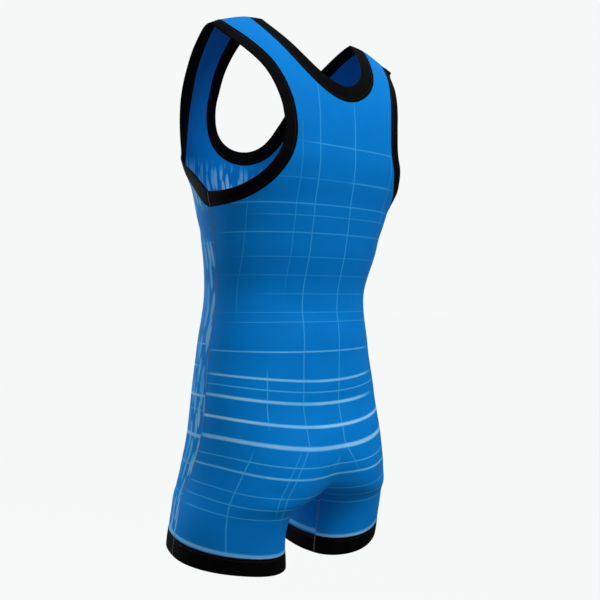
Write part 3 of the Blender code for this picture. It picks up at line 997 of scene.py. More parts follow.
class Ground(NamedTuple):
    """A new material with what every finish starts from."""

    material: bpy.types.Material
    nodes: Nodes
    shader: bpy.types.Node
    uv: bpy.types.NodeSocket
    u: bpy.types.NodeSocket
    v: bpy.types.NodeSocket

    @classmethod
    def laid(cls, name: str) -> "Ground":
        """Start a material that reads each piece's own place on its cloth.

        Args:
            name: The material's name.

        Returns:
            The material with its nodes and its place on the cloth, whole and as u and v.
        """
        material = bpy.data.materials.new(name)
        material.use_nodes = True
        nodes = Nodes(material.node_tree)
        uv = nodes.add("ShaderNodeUVMap", uv_map=UV_NAME).outputs["UV"]
        parts = nodes.add("ShaderNodeSeparateXYZ")
        nodes.feed(parts.inputs[0], uv)
        shader = material.node_tree.nodes["Principled BSDF"]
        return cls(material, nodes, shader, uv, parts.outputs["X"], parts.outputs["Y"])

    def rub(self, roughness: float, specular: float) -> None:
        """Set how matte the finish is."""
        self.shader.inputs["Roughness"].default_value = roughness
        self.shader.inputs["Specular IOR Level"].default_value = specular


class PrintedLine(NamedTuple):
    """A fine pale line of the print, in metres on the cloth."""

    place: float
    width: float
    strength: float  # 0 to 1
    start: float  # along the line
    end: float
    fade: float  # length of each end's fade


ACROSS_BACK = (
    PrintedLine(-0.1925, 0.0018, 0.34, -0.17, 0.10, 0.07),
    PrintedLine(-0.241, 0.0022, 0.38, -0.13, 0.01, 0.05),
    PrintedLine(-0.241, 0.0014, 0.14, -0.05, 0.20, 0.06),
    PrintedLine(-0.275, 0.0018, 0.34, -0.21, 0.21, 0.06),
    PrintedLine(-0.291, 0.0015, 0.22, -0.19, 0.16, 0.06),
    PrintedLine(-0.315, 0.0018, 0.32, -0.18, 0.22, 0.06),
    PrintedLine(-0.349, 0.0014, 0.20, -0.20, 0.18, 0.06),
    PrintedLine(-0.375, 0.0014, 0.16, -0.15, 0.21, 0.06),
    PrintedLine(-0.402, 0.0014, 0.14, -0.21, 0.14, 0.06),
    PrintedLine(-0.429, 0.0014, 0.16, -0.20, 0.20, 0.06),
    PrintedLine(-0.443, 0.0015, 0.22, -0.20, 0.18, 0.05),
    PrintedLine(-0.484, 0.0020, 0.50, -0.14, 0.24, 0.06),
    PrintedLine(-0.518, 0.0032, 0.66, -0.13, 0.24, 0.06),
    PrintedLine(-0.532, 0.0018, 0.44, -0.20, 0.24, 0.04),
    PrintedLine(-0.5475, 0.0044, 0.74, -0.12, 0.25, 0.06),
    PrintedLine(-0.5475, 0.0024, 0.40, -0.20, -0.13, 0.02),
    PrintedLine(-0.578, 0.0044, 0.80, -0.24, 0.25, 0.05),
    PrintedLine(-0.607, 0.0060, 0.74, -0.24, 0.25, 0.05),
    PrintedLine(-0.632, 0.0018, 0.42, -0.23, 0.25, 0.03),
    PrintedLine(-0.648, 0.0032, 0.56, -0.23, 0.25, 0.03),
    PrintedLine(-0.676, 0.0018, 0.36, -0.23, 0.25, 0.03),
    PrintedLine(-0.694, 0.0018, 0.42, -0.22, 0.24, 0.03),
    PrintedLine(-0.711, 0.0018, 0.38, -0.22, 0.23, 0.03),
    # A pale line all round each leg, just above the band's seam.
    PrintedLine(-0.7685, 0.0062, 0.62, -0.40, 0.40, 0.03),
)
DOWN_BACK = (
    PrintedLine(0.049, 0.0018, 0.30, -0.74, -0.09, 0.05),
    PrintedLine(0.079, 0.0014, 0.20, -0.42, -0.14, 0.06),
    PrintedLine(-0.018, 0.0018, 0.36, -0.66, -0.10, 0.05),
    PrintedLine(0.105, 0.0018, 0.36, -0.59, -0.50, 0.02),
    PrintedLine(0.060, 0.0016, 0.28, -0.72, -0.60, 0.03),
    PrintedLine(0.130, 0.0022, 0.38, -0.80, -0.61, 0.03),
    PrintedLine(0.149, 0.0014, 0.18, -0.45, -0.22, 0.04),
    PrintedLine(-0.100, 0.0016, 0.22, -0.52, -0.14, 0.06),
    PrintedLine(-0.135, 0.0014, 0.18, -0.70, -0.56, 0.04),
)
ACROSS_FRONT = (
    PrintedLine(-0.262, 0.0018, 0.30, -0.20, 0.12, 0.06),
    PrintedLine(-0.327, 0.0018, 0.34, -0.24, 0.24, 0.06),
    PrintedLine(-0.358, 0.0014, 0.20, -0.18, 0.21, 0.06),
    PrintedLine(-0.421, 0.0018, 0.30, -0.24, 0.20, 0.05),
    PrintedLine(-0.476, 0.0024, 0.50, -0.23, 0.25, 0.05),
    PrintedLine(-0.509, 0.0036, 0.66, -0.25, 0.21, 0.05),
    PrintedLine(-0.552, 0.0044, 0.74, -0.25, 0.25, 0.04),
    PrintedLine(-0.573, 0.0018, 0.40, -0.20, 0.25, 0.04),
    PrintedLine(-0.611, 0.0060, 0.72, -0.25, 0.25, 0.04),
    PrintedLine(-0.655, 0.0028, 0.50, -0.25, 0.25, 0.03),
    PrintedLine(-0.702, 0.0018, 0.40, -0.25, 0.25, 0.03),
    PrintedLine(-0.724, 0.0016, 0.32, -0.24, 0.24, 0.03),
    # A pale line all round each leg, just above the band's seam.
    PrintedLine(-0.7685, 0.0062, 0.62, -0.40, 0.40, 0.03),
)
DOWN_FRONT = (
    PrintedLine(-0.062, 0.0018, 0.30, -0.68, -0.24, 0.05),
    PrintedLine(0.034, 0.0018, 0.34, -0.64, -0.22, 0.05),
    PrintedLine(0.071, 0.0014, 0.20, -0.50, -0.26, 0.06),
    PrintedLine(-0.118, 0.0018, 0.30, -0.78, -0.55, 0.03),
    PrintedLine(0.126, 0.0020, 0.34, -0.79, -0.60, 0.03),
)


@dataclass(frozen=True)
class PrintedKnit:
    """Stretch knit dyed blue, printed with fine pale lines and, where asked, with slanted flecks."""

    name: str
    across: tuple[PrintedLine, ...]
    down: tuple[PrintedLine, ...]
    flecked: bool
    ground: Colour = (0.0010, 0.225, 0.71, 1.0)
    faint: Colour = (0.045, 0.42, 0.90, 1.0)
    pale: Colour = (0.46, 0.73, 1.0, 1.0)
    line_edge: tuple[float, float] = (0.72, 0.22)  # a line's blurred edge, in its widths
    fade_noise: tuple[float, float] = (9.0, 2.0)  # lumps a metre and layers of the print's wear
    shade_noise: tuple[float, float] = (26.0, 3.0)  # the same for the dye's
    shade_stops: tuple[float, float] = (0.3, 0.7)
    shade_depth: float = 0.10
    darkened: float = 0.35
    roughness: float = 0.60
    specular: float = 0.035
    sheen: float = 0.02
    sheen_roughness: float = 0.4
    sheen_tint: Colour = (0.02, 0.35, 1.0, 1.0)
    wale: float = 0.0009  # width of one column of loops
    course: float = 0.0007  # height of one loop
    loop_lean: float = 0.9  # rise of a leaning loop along its width
    loop_relief: float = 0.3  # shares of the relief
    wale_relief: float = 0.2
    relief: float = 0.00012
    relief_strength: float = 0.35
    fleck_size: tuple[float, float] = (0.0105, 0.056)
    fleck_turn: float = 0.38  # radians off the upright
    fleck_edge: tuple[float, float] = (0.42, 0.30)  # a fleck's blurred edge, in its sizes
    fleck_scatter: float = 0.75  # 0 is a plain grid
    fleck_strength: float = 1.15
    side_from: tuple[float, float] = (0.150, 0.190)  # u between which the flecks of the side set in
    side_top: tuple[float, float] = (-0.300, -0.330)  # v over which they set in downward
    chest_bottom: tuple[float, float] = (-0.285, -0.265)  # v over which those of the chest begin
    chest_top: tuple[float, float] = (-0.175, -0.200)  # and end

    def line_group(self) -> bpy.types.NodeTree:
        """Node group that gives how strongly one printed line shows.

        Returns:
            The group.
        """
        known = bpy.data.node_groups.get("printed_line")
        if known:
            return known
        group = bpy.data.node_groups.new("printed_line", "ShaderNodeTree")
        for name in ("Across", "Along", "Place", "Width", "Strength", "Start", "End", "Fade"):
            group.interface.new_socket(name, in_out="INPUT", socket_type="NodeSocketFloat")
        group.interface.new_socket("Amount", in_out="OUTPUT", socket_type="NodeSocketFloat")
        nodes = Nodes(group)
        given = nodes.add("NodeGroupInput").outputs
        away = nodes.maths("ABSOLUTE", nodes.maths("SUBTRACT", given["Across"], given["Place"]))
        outside, inside = (nodes.maths("MULTIPLY", given["Width"], share) for share in self.line_edge)
        line = nodes.ease(away, outside, inside)
        full_from = nodes.maths("ADD", given["Start"], given["Fade"])
        after = nodes.ease(given["Along"], given["Start"], full_from)
        full_to = nodes.maths("SUBTRACT", given["End"], given["Fade"])
        before = nodes.ease(given["Along"], given["End"], full_to)
        ends = nodes.maths("MULTIPLY", after, before)
        shown = nodes.maths("MULTIPLY", nodes.maths("MULTIPLY", line, ends), given["Strength"])
        nodes.feed(nodes.add("NodeGroupOutput").inputs["Amount"], shown)
        return group

    def lines(self, nodes: Nodes, u: object, v: object) -> bpy.types.NodeSocket:
        """How strongly the printed lines show, all together.

        Args:
            nodes: The material's nodes.
            u: Way round the body.
            v: Height on the cloth.

        Returns:
            The amount.
        """
        total: object = 0.0
        for table, measured, along in ((self.across, v, u), (self.down, u, v)):
            for line in table:
                node = nodes.add("ShaderNodeGroup", node_tree=self.line_group())
                for socket, value in zip(node.inputs, (measured, along, *line)):
                    nodes.feed(socket, value)
                total = nodes.maths("MAXIMUM", total, node.outputs["Amount"])
        return total

    def flecks(self, nodes: Nodes, place: object, u: object, v: object) -> bpy.types.NodeSocket:
        """How strongly the slanted flecks show, down each side and across the chest.

        Args:
            nodes: The material's nodes.
            place: Place on the cloth.
            u: Way round the body.
            v: Height on the cloth.

        Returns:
            The amount.
        """
        mapping = nodes.add("ShaderNodeMapping")
        nodes.feed(mapping.inputs["Vector"], place)
        mapping.inputs["Rotation"].default_value = (0, 0, self.fleck_turn)
        mapping.inputs["Scale"].default_value = (1 / self.fleck_size[0], 1 / self.fleck_size[1], 1)
        cells = nodes.add("ShaderNodeTexVoronoi", voronoi_dimensions="2D")
        nodes.feed(cells.inputs["Vector"], mapping.outputs["Vector"])
        cells.inputs["Scale"].default_value = 1.0
        cells.inputs["Randomness"].default_value = self.fleck_scatter
        shape = nodes.ease(cells.outputs["Distance"], *self.fleck_edge)
        aside = nodes.ease(nodes.maths("ABSOLUTE", u), *self.side_from)
        low = nodes.maths("MULTIPLY", aside, nodes.ease(v, *self.side_top))
        chest_limits = (nodes.ease(v, *limits) for limits in (self.chest_bottom, self.chest_top))
        chest = nodes.maths("MULTIPLY", *chest_limits)
        return nodes.maths("MULTIPLY", shape, nodes.maths("MAXIMUM", low, chest))

    def knit(self, nodes: Nodes, u: object, v: object) -> bpy.types.NodeSocket:
        """Relief of the knit's loops, which lean to and fro along each row.

        Args:
            nodes: The material's nodes.
            u: Way round the body.
            v: Height on the cloth.

        Returns:
            The relief, about 0 to 1.
        """
        lean = nodes.maths("PINGPONG", u, self.wale / 2)
        level = nodes.maths("ADD", v, nodes.maths("MULTIPLY", lean, self.loop_lean))
        rows = nodes.maths("SINE", nodes.maths("MULTIPLY", level, 2 * pi / self.course))
        ribs = nodes.maths("COSINE", nodes.maths("MULTIPLY", u, 2 * pi / self.wale))
        rows = nodes.maths("MULTIPLY", rows, self.loop_relief)
        ribs = nodes.maths("MULTIPLY", ribs, self.wale_relief)
        return nodes.maths("ADD", nodes.maths("ADD", rows, ribs), 0.5)

    def material(self) -> bpy.types.Material:
        """The finish.

        Returns:
            The material.
        """
        ground = Ground.laid(self.name)
        nodes, shader, uv, u, v = ground.nodes, ground.shader, ground.uv, ground.u, ground.v
        wear = nodes.noise(uv, *self.fade_noise)
        amount = nodes.maths("MULTIPLY", self.lines(nodes, u, v), nodes.maths("ADD", wear, 0.5))
        if self.flecked:
            strength = nodes.maths("MULTIPLY", wear, self.fleck_strength)
            fleck = nodes.maths("MULTIPLY", self.flecks(nodes, uv, u, v), strength)
            amount = nodes.maths("MAXIMUM", amount, fleck)
        printed = nodes.ramp(amount, ((0.0, self.ground), (0.4, self.faint), (1.0, self.pale)))
        uneven = nodes.add("ShaderNodeMix", data_type="RGBA", blend_type="MULTIPLY")
        nodes.feed(uneven.inputs["Factor"], self.shade_depth)
        nodes.feed(uneven.inputs["A"], printed)
        shade = nodes.noise(uv, *self.shade_noise)
        greys = [(grey, grey, grey, 1.0) for grey in (self.darkened, 1.0)]
        nodes.feed(uneven.inputs["B"], nodes.ramp(shade, tuple(zip(self.shade_stops, greys))))
        nodes.feed(shader.inputs["Base Color"], uneven.outputs["Result"])
        ground.rub(self.roughness, self.specular)
        shader.inputs["Sheen Weight"].default_value = self.sheen
        shader.inputs["Sheen Roughness"].default_value = self.sheen_roughness
        shader.inputs["Sheen Tint"].default_value = self.sheen_tint
        bumps = nodes.bump(self.knit(nodes, u, v), self.relief_strength, self.relief)
        nodes.feed(shader.inputs["Normal"], bumps)
        ground.material.diffuse_color = self.ground
        return ground.material


@dataclass(frozen=True)
class BlackRib:
    """Black knit with a fine rib across the strip, for bindings and bands."""

    name: str = "black_rib"
    colour: Colour = (0.0009, 0.0009, 0.0013, 1.0)
    worn: Colour = (0.0026, 0.0025, 0.0032, 1.0)
    worn_stops: tuple[float, float] = (0.35, 0.75)
    worn_noise: tuple[float, float] = (90.0, 3.0)  # lumps a metre and layers
    rib: float = 0.0011
    loop: float = 0.6  # length of a loop, in ribs
    rib_relief: float = 0.35  # shares of the relief
    loop_relief: float = 0.15
    relief: float = 0.00015
    relief_strength: float = 0.5
    roughness: float = 0.68
    specular: float = 0.03

    def material(self) -> bpy.types.Material:
        """The finish.

        Returns:
            The material.
        """
        ground = Ground.laid(self.name)
        nodes, shader = ground.nodes, ground.shader
        ribs = nodes.maths("SINE", nodes.maths("MULTIPLY", ground.u, 2 * pi / self.rib))
        per_metre = 2 * pi / (self.rib * self.loop)
        loops = nodes.maths("SINE", nodes.maths("MULTIPLY", ground.v, per_metre))
        ribs = nodes.maths("MULTIPLY", ribs, self.rib_relief)
        loops = nodes.maths("MULTIPLY", loops, self.loop_relief)
        relief = nodes.maths("ADD", nodes.maths("ADD", ribs, loops), 0.5)
        shade = nodes.noise(ground.uv, *self.worn_noise)
        blacks = tuple(zip(self.worn_stops, (self.colour, self.worn)))
        nodes.feed(shader.inputs["Base Color"], nodes.ramp(shade, blacks))
        ground.rub(self.roughness, self.specular)
        nodes.feed(shader.inputs["Normal"], nodes.bump(relief, self.relief_strength, self.relief))
        ground.material.diffuse_color = self.colour
        return ground.material


@dataclass(frozen=True)
class Thread:
    """Twisted sewing thread. Its colour follows the twist: painted shade in the grooves, a painted
    highlight on the ridges.
    """

    name: str
    # The first colour is the thread's in the twist's grooves, with painted shade; the second is on its
    # ridges, with a painted highlight.
    dark: Colour
    light: Colour
    twist: float = 0.0005
    relief: float = 0.00005
    relief_strength: float = 0.4
    roughness: float = 0.6
    specular: float = 0.5

    def material(self) -> bpy.types.Material:
        """The finish.

        Returns:
            The material.
        """
        ground = Ground.laid(self.name)
        nodes, shader = ground.nodes, ground.shader
        turned = nodes.maths("ADD", ground.u, ground.v)
        twist = nodes.maths("SINE", nodes.maths("MULTIPLY", turned, 2 * pi / self.twist))
        share = nodes.maths("ADD", nodes.maths("MULTIPLY", twist, 0.5), 0.5)
        # Painted shade in the twist's grooves and a painted highlight on its ridges, in step with the
        # relief.
        shades = ((0.0, self.dark), (1.0, self.light))
        nodes.feed(shader.inputs["Base Color"], nodes.ramp(share, shades))
        ground.rub(self.roughness, self.specular)
        nodes.feed(shader.inputs["Normal"], nodes.bump(share, self.relief_strength, self.relief))
        ground.material.diffuse_color = self.dark
        return ground.material


class Cloth:
    """What every sewn piece shares: it becomes an object that rides with the garment."""

    @staticmethod
    def from_faces(
        name: str, points: np.ndarray, faces: Sequence[Sequence[int]], uv: np.ndarray
    ) -> bpy.types.Object:
        """Make an object from points and faces.

        Args:
            name: Its name.
            points: Its points.
            faces: The points of each face, counted from 0, anticlockwise from outside.
            uv: Place on the cloth of each corner of each face, in order.

        Returns:
            The object.
        """
        mesh = bpy.data.meshes.new(name)
        mesh.from_pydata(points.tolist(), [], [list(face) for face in faces])
        mesh.update()
        mesh.uv_layers.new(name=UV_NAME).data.foreach_set("uv", np.asarray(uv, np.float32).ravel())
        piece = bpy.data.objects.new(name, mesh)
        bpy.context.scene.collection.objects.link(piece)
        return piece

    @staticmethod
    def take(piece: bpy.types.Object) -> None:
        """Select one object alone and make it the active one."""
        for other in bpy.context.selected_objects:
            other.select_set(False)
        piece.select_set(True)
        bpy.context.view_layer.objects.active = piece

    @classmethod
    def smooth(cls, piece: bpy.types.Object, angle: float) -> None:
        """Shade smoothly, with edges sharper than an angle kept."""
        cls.take(piece)
        bpy.ops.object.shade_smooth_by_angle(angle=radians(angle))

    @staticmethod
    def area(piece: bpy.types.Object) -> float:
        """Half the surface of a closed piece, which is the area of its cloth."""
        return sum(face.area for face in piece.data.polygons) / 2

    @classmethod
    def report(cls, piece: bpy.types.Object) -> None:
        """Log one finished piece."""
        LOG.info("%s: %d faces, %.4f m2", piece.name, len(piece.data.polygons), cls.area(piece))


@dataclass
class Panel(Cloth):
    """The front or the back: printed cloth over the body, both legs and half of each strap."""

    shape: Shape
    face: Face
    finish: PrintedKnit
    creases: tuple[Crease, ...] = ()
    sag: tuple[tuple[float, float], ...] = ()  # height, drop of the printed lines in the middle
    sag_reach: float = 0.20
    blunt: float = 0.1  # share of a sine's arch cut off at each end of a crease
    wander: float = 0.006  # the upright printed lines swing this far to each side
    wander_length: float = 0.45
    wander_level: float = 0.19  # how far below the origin they swing the full way
    piece: bpy.types.Object = field(init=False)

    def build(self) -> None:
        """Make the panel's mesh: an outer skin with a wall inward."""
        half = self.shape.half[self.face]
        mesh = self.shape.mesh
        height = half.level
        points = half.points + half.normals * self.lift(half.round, height, 1)[..., None]
        mirror = half.points + half.normals * self.lift(half.round, height, -1)[..., None]
        rows, columns = half.t.shape
        left = np.arange(rows * columns).reshape(rows, columns)
        right = left + rows * columns
        shared = slice(mesh.crotch, mesh.neck(self.face) + 1)
        right[shared, 0] = left[shared, 0]
        points[shared, 0, 0] = 0.0
        places = np.concatenate([self.places(half.round, height, side) for side in (1, -1)])
        faces, corners = [], []
        for index, turned in ((left, self.face is BACK), (right, self.face is FRONT)):
            quads = np.stack([index[:-1, :-1], index[:-1, 1:], index[1:, 1:], index[1:, :-1]], axis=-1)
            quads = quads.reshape(-1, 4)
            faces.append(quads[:, ::-1] if turned else quads)
            corners.append(places[faces[-1].ravel()])
        both = np.concatenate([points.reshape(-1, 3), (mirror * (-1, 1, 1)).reshape(-1, 3)])
        faces = np.concatenate(faces)
        used, again = np.unique(faces, return_inverse=True)
        name, quads = self.face.name + "_knit", again.reshape(-1, 4).tolist()
        self.piece = self.from_faces(name, both[used], quads, np.concatenate(corners))
        wall = self.piece.modifiers.new("wall", "SOLIDIFY")
        wall.thickness = self.shape.cut.cloth
        wall.offset = -1.0
        self.take(self.piece)
        bpy.ops.object.modifier_apply(modifier=wall.name)
        self.smooth(self.piece, 50)

    def lift(self, way: np.ndarray, height: np.ndarray, side: int) -> np.ndarray:
        """How far the creases move the cloth out.

        Args:
            way: Distance round from the middle, on one half.
            height: Height on the cloth.
            side: 1 on the wearer's left, -1 on the right.

        Returns:
            The moves, in the same shape.
        """
        total = np.zeros_like(way)
        place = np.stack([way * side, height], axis=-1)
        for crease in self.creases:
            start, end = np.array(crease.start), np.array(crease.end)
            run = end - start
            share = ((place - start) @ run) / (run @ run)
            near = start + np.clip(share, 0, 1)[..., None] * run
            away = np.linalg.norm(place - near, axis=-1)
            taper = np.sin(np.clip(share * (1 - 2 * self.blunt) + self.blunt, 0, 1) * pi)
            total -= crease.depth * np.exp(-((away / crease.width) ** 2)) * taper
        return total

    def places(self, way: np.ndarray, height: np.ndarray, side: int) -> np.ndarray:
        """Place of each point on the printed cloth, which is stretched over the seat and legs.

        Args:
            way: Distance round from the middle, on one half.
            height: Height on the cloth.
            side: 1 on the wearer's left, -1 on the right.

        Returns:
            One (u, v) a point.
        """
        level = height.copy()
        if self.sag:
            drop = Curve(*zip(*self.sag)).at(height)
            level = height + drop * (1 - np.minimum(way / self.sag_reach, 1) ** 2) ** 2
        swing = self.wander * np.cos(2 * pi * (height + self.wander_level) / self.wander_length)
        return np.stack([side * way - swing, level], axis=-1).reshape(-1, 2)

    def dress(self, with_pieces: Sequence[bpy.types.Object]) -> None:
        """Give the panel its finish, attach it to the body, hide its solid and log its size.

        Args:
            with_pieces: Not used.
        """
        self.piece.data.materials.append(self.finish.material())
        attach(self.piece, BODY)
        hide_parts(self.face.name + "_panel")
        area = self.area(self.piece)
        self.report(self.piece)


@dataclass
class FoldedTrim(Cloth):
    """A strip folded over the cloth's edge and sewn through: a binding or a leg band."""

    name: str
    node: str
    line: SewingLine
    widths: tuple[float, float]  # in front and at the back
    change: tuple[float, float]  # y between which one width becomes the other
    cloth: float
    finish: BlackRib
    proud: float = 0.0005  # how far the strip stands off the cloth on each face
    plump: float = 0.0003  # extra rise in the middle of the strip
    lap: float = 0.0016  # how far it laps over the panel
    ply: float = 0.0004
    stitch_in: float = 0.0028  # from the sewing line to the row of stitches
    dent: float = 0.0003  # how deep the stitches pull it in
    dent_reach: float = 0.0009  # half the width of that dent
    wider_from: float = 0.0018  # from the stitches to where the extra width sets in
    wider_to: float = 0.0025  # from the fold to where all of it is reached
    fold_round: float = 1.4  # length of the fold's rounding, in half thicknesses
    edge_round: float = 0.0006  # length over which the lapped edge rises
    edge_thin: float = 0.3  # share of the thickness that is wanting at that edge
    least_gap: float = 0.00005  # between the middle and the inner face
    from_edge: tuple[float, ...] = (0.0, 0.0003, 0.0007)  # rows of points beside the lapped edge
    from_line: tuple[float, ...] = (0.0, 0.0012, 0.0020)  # and between sewing line and stitches
    past_stitches: tuple[float, ...] = (0.0036, 0.0046)
    even_from: float = 0.0065  # from here to even_to before the fold's rounding the rows are even
    even_to: float = 0.0012
    even_rows: int = 5
    broad: float = 0.02  # a strip at least as wide as this gets more of them
    broad_rows: int = 8
    fold_rows: int = 7
    crossing_points: int = 24
    crossing_end: float = 0.0006  # from the fold to the end of a seam that crosses the strip
    piece: bpy.types.Object = field(init=False)

    @property
    def width(self) -> float:
        """The strip's least width."""
        return min(self.widths)

    @property
    def half(self) -> float:
        """Half the strip's thickness."""
        return self.cloth / 2 + self.proud

    @property
    def fold(self) -> float:
        """Length of the fold's rounding."""
        return self.half * self.fold_round

    def extra_width(self) -> np.ndarray:
        """What the strip's width at each point of its line has over its least width."""
        share = soft_step(self.line.points[:, 1], self.change)
        return self.widths[0] + (self.widths[1] - self.widths[0]) * share - self.width

    def stretch(self, across: np.ndarray) -> np.ndarray:
        """Share of the extra width at each distance: none at the stitches, all at the fold."""
        first, last = self.stitch_in + self.wider_from, self.width - self.wider_to
        return np.clip((across - first) / (last - first), 0, 1)

    def crossing(self, index: int) -> tuple[np.ndarray, np.ndarray]:
        """A line over the strip's outer face, from the cloth to the fold.

        Args:
            index: Point of the sewing line where it starts.

        Returns:
            Its points and the way out at each.
        """
        across = np.linspace(-self.lap, self.width - self.crossing_end, self.crossing_points)
        rise = self.rise(across) - self.cloth / 2
        along = across + self.stretch(across) * self.extra_width()[index]
        line = self.line
        points = line.points[index] + np.outer(along, line.across[index])
        points = points + np.outer(rise, line.out[index])
        return points, np.tile(line.out[index], (len(points), 1))

    def rise(self, across: np.ndarray) -> np.ndarray:
        """Height of the strip's face over the middle of the cloth.

        Args:
            across: Distance from the sewing line.

        Returns:
            The heights.
        """
        share = np.clip(across / self.width, 0, 1)
        crown = self.plump * np.sin(share * pi)
        pulled = self.dent * np.exp(-(((across - self.stitch_in) / self.dent_reach) ** 2))
        turn = np.clip((across - (self.width - self.fold)) / self.fold, 0, 1)
        edge = np.clip((across + self.lap) / self.edge_round, 0, 1)
        start = 1 - self.edge_thin * (1 - np.sqrt(np.clip(edge * (2 - edge), 0, 1)))
        return (self.half * start + crown - pulled) * np.sqrt(np.clip(1 - turn**2, 0, 1))

    def section(self) -> np.ndarray:
        """The strip cut across, as (across, out), once round its outside and back inside it.

        Returns:
            The corners in order.
        """
        turned = self.width - self.fold * (1 - np.sin(np.linspace(0, pi / 2, self.fold_rows)))
        lapped = [-self.lap + step for step in self.from_edge]
        sewn = [*self.from_line, self.stitch_in, *self.past_stitches]
        rows = self.even_rows if self.width < self.broad else self.broad_rows
        even = np.linspace(self.even_from, turned[0] - self.even_to, rows)
        across = np.concatenate([lapped, sewn, even, turned])
        rise = self.rise(across)
        outside = np.concatenate([
            np.stack([across, rise], axis=1),
            np.stack([across, -rise], axis=1)[-2::-1],
        ])
        inner = np.clip(across, -self.lap, self.width - self.ply)
        gap = np.maximum(rise - self.ply, self.least_gap)
        inside = np.concatenate([
            np.stack([inner, -gap], axis=1)[::4],
            np.stack([inner, gap], axis=1)[::-1][::4],
        ])
        return np.concatenate([outside, inside])

    def build(self) -> None:
        """Sweep the section along the sewing line."""
        section = self.section()
        line = self.line
        base = line.points - line.out * self.cloth / 2
        across = section[None, :, 0] + np.outer(self.extra_width(), self.stretch(section[:, 0]))
        rings = (
            base[:, None]
            + line.across[:, None] * across[..., None]
            + line.out[:, None] * section[None, :, 1:]
        )
        count, corners = rings.shape[:2]
        index = np.arange(count * corners).reshape(count, corners)
        after, beside = np.roll(index, -1, axis=0), np.roll(index, -1, axis=1)
        faces = np.stack([index, beside, np.roll(after, -1, axis=1), after], axis=-1).reshape(-1, 4)
        run = np.concatenate([lengths(line.points), [line.length()]])
        round_section = np.concatenate([lengths(section), [0.0]])
        round_section[-1] = round_section[-2] + np.linalg.norm(section[0] - section[-1])
        i, j = np.divmod(np.arange(count * corners), corners)
        uv = np.stack(
            [
                np.stack([run[i], round_section[j]], axis=1),
                np.stack([run[i], round_section[j + 1]], axis=1),
                np.stack([run[i + 1], round_section[j + 1]], axis=1),
                np.stack([run[i + 1], round_section[j]], axis=1),
            ],
            axis=1,
        )
        self.piece = self.from_faces(self.name, rings.reshape(-1, 3), faces.tolist(), uv.reshape(-1, 2))
        self.face_out()
        self.smooth(self.piece, 60)

    def face_out(self) -> None:
        """Turn every face to look out of the strip."""
        self.take(self.piece)
        bpy.ops.object.mode_set(mode="EDIT")
        bpy.ops.mesh.select_all(action="SELECT")
        bpy.ops.mesh.normals_make_consistent(inside=False)
        bpy.ops.object.mode_set(mode="OBJECT")

    def dress(self, with_pieces: Sequence[bpy.types.Object]) -> None:
        """Give the strip its finish, attach it to the body, hide its solid and log its size.

        Args:
            with_pieces: Not used.
        """
        self.piece.data.materials.append(self.finish.material())
        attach(self.piece, BODY)
        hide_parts(self.node)
        flat = (round(2 * (max(self.widths) + self.lap), 4), round(self.line.length(), 3))
        round(min(self.area(self.piece), 0.998 * flat[0] * flat[1]), 4)
        self.report(self.piece)


@dataclass(frozen=True)
class Stitch:
    """One stitch, a short fat bow of thread along x, modelled once and copied."""

    length: float
    width: float
    height: float
    round_off: float = 0.18  # how far its edges are cut back, in diameters

    def corners_and_faces(self) -> tuple[np.ndarray, list[list[int]]]:
        """Model the stitch and read its mesh.

        Returns:
            Its points, with z out of the cloth, and its faces.
        """
        for other in bpy.context.selected_objects:
            other.select_set(False)
        bpy.ops.mesh.primitive_cylinder_add(vertices=6, radius=0.5, depth=1.0, end_fill_type="NGON")
        bow = bpy.context.object
        bpy.ops.object.mode_set(mode="EDIT")
        bpy.ops.mesh.select_all(action="SELECT")
        bpy.ops.transform.rotate(value=pi / 2, orient_axis="Y", center_override=(0.0, 0.0, 0.0))
        bpy.ops.mesh.bevel(offset=self.round_off, segments=1, affect="EDGES")
        bpy.ops.mesh.select_all(action="SELECT")
        size = (self.length, self.width, self.height)
        bpy.ops.transform.resize(value=size, center_override=(0.0, 0.0, 0.0))
        bpy.ops.object.mode_set(mode="OBJECT")
        points = np.array([corner.co for corner in bow.data.vertices])
        faces = [list(face.vertices) for face in bow.data.polygons]
        bpy.data.objects.remove(bow, do_unlink=True)
        return points, faces


class ThreadPath(NamedTuple):
    """A row of stitches: the points it runs along and the way out of the cloth at each."""

    points: np.ndarray
    out: np.ndarray
    closed: bool
    slant: float  # radians between a stitch and its row
    pitch: float


@dataclass
class Stitching(Cloth):
    """Rows of stitches of one thread, all in one mesh."""

    name: str
    paths: list[ThreadPath]
    stitch: Stitch
    finish: Thread
    slot: str
    piece: bpy.types.Object = field(init=False)

    def build(self) -> None:
        """Copy the stitch along every path."""
        shape, faces = self.stitch.corners_and_faces()
        points, quads, uv = [], [], []
        flat = np.concatenate([shape[face][:, :2] for face in faces])
        for path in self.paths:
            for origin, along, out in self.stops(path):
                beside = np.cross(out, along)
                turned = along * np.cos(path.slant) + beside * np.sin(path.slant)
                axes = np.stack([turned, np.cross(out, turned), out])
                first = len(points) * len(shape)
                points.append(origin + shape @ axes)
                quads += [[first + corner for corner in face] for face in faces]
                uv.append(flat)
        self.piece = self.from_faces(self.name, np.concatenate(points), quads, np.concatenate(uv))
        self.smooth(self.piece, 70)

    @staticmethod
    def stops(path: ThreadPath) -> list[tuple[np.ndarray, np.ndarray, np.ndarray]]:
        """Where each stitch lies.

        Args:
            path: The row.

        Returns:
            For each stitch its middle, the row's direction and the way out.
        """
        points, out = path.points, path.out
        if path.closed:
            points = np.concatenate([points, points[:1]])
            out = np.concatenate([out, out[:1]])
        run = lengths(points)
        count = max(int(round(run[-1] / path.pitch)), 2)
        stops = (np.arange(count) + 0.5) * run[-1] / count
        middle = at_stops(stops, run, points)
        ahead = at_stops(stops + path.pitch / 4, run, points)
        behind = at_stops(stops - path.pitch / 4, run, points)
        normal = unit(at_stops(stops, run, out))
        along = ahead - behind
        along = unit(along - normal * (along * normal).sum(axis=1, keepdims=True))
        return list(zip(middle, along, normal))

    def dress(self) -> None:
        """Give the thread its finish."""
        self.piece.data.materials.append(self.finish.material())
        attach(self.piece, BODY)
        self.report(self.piece)


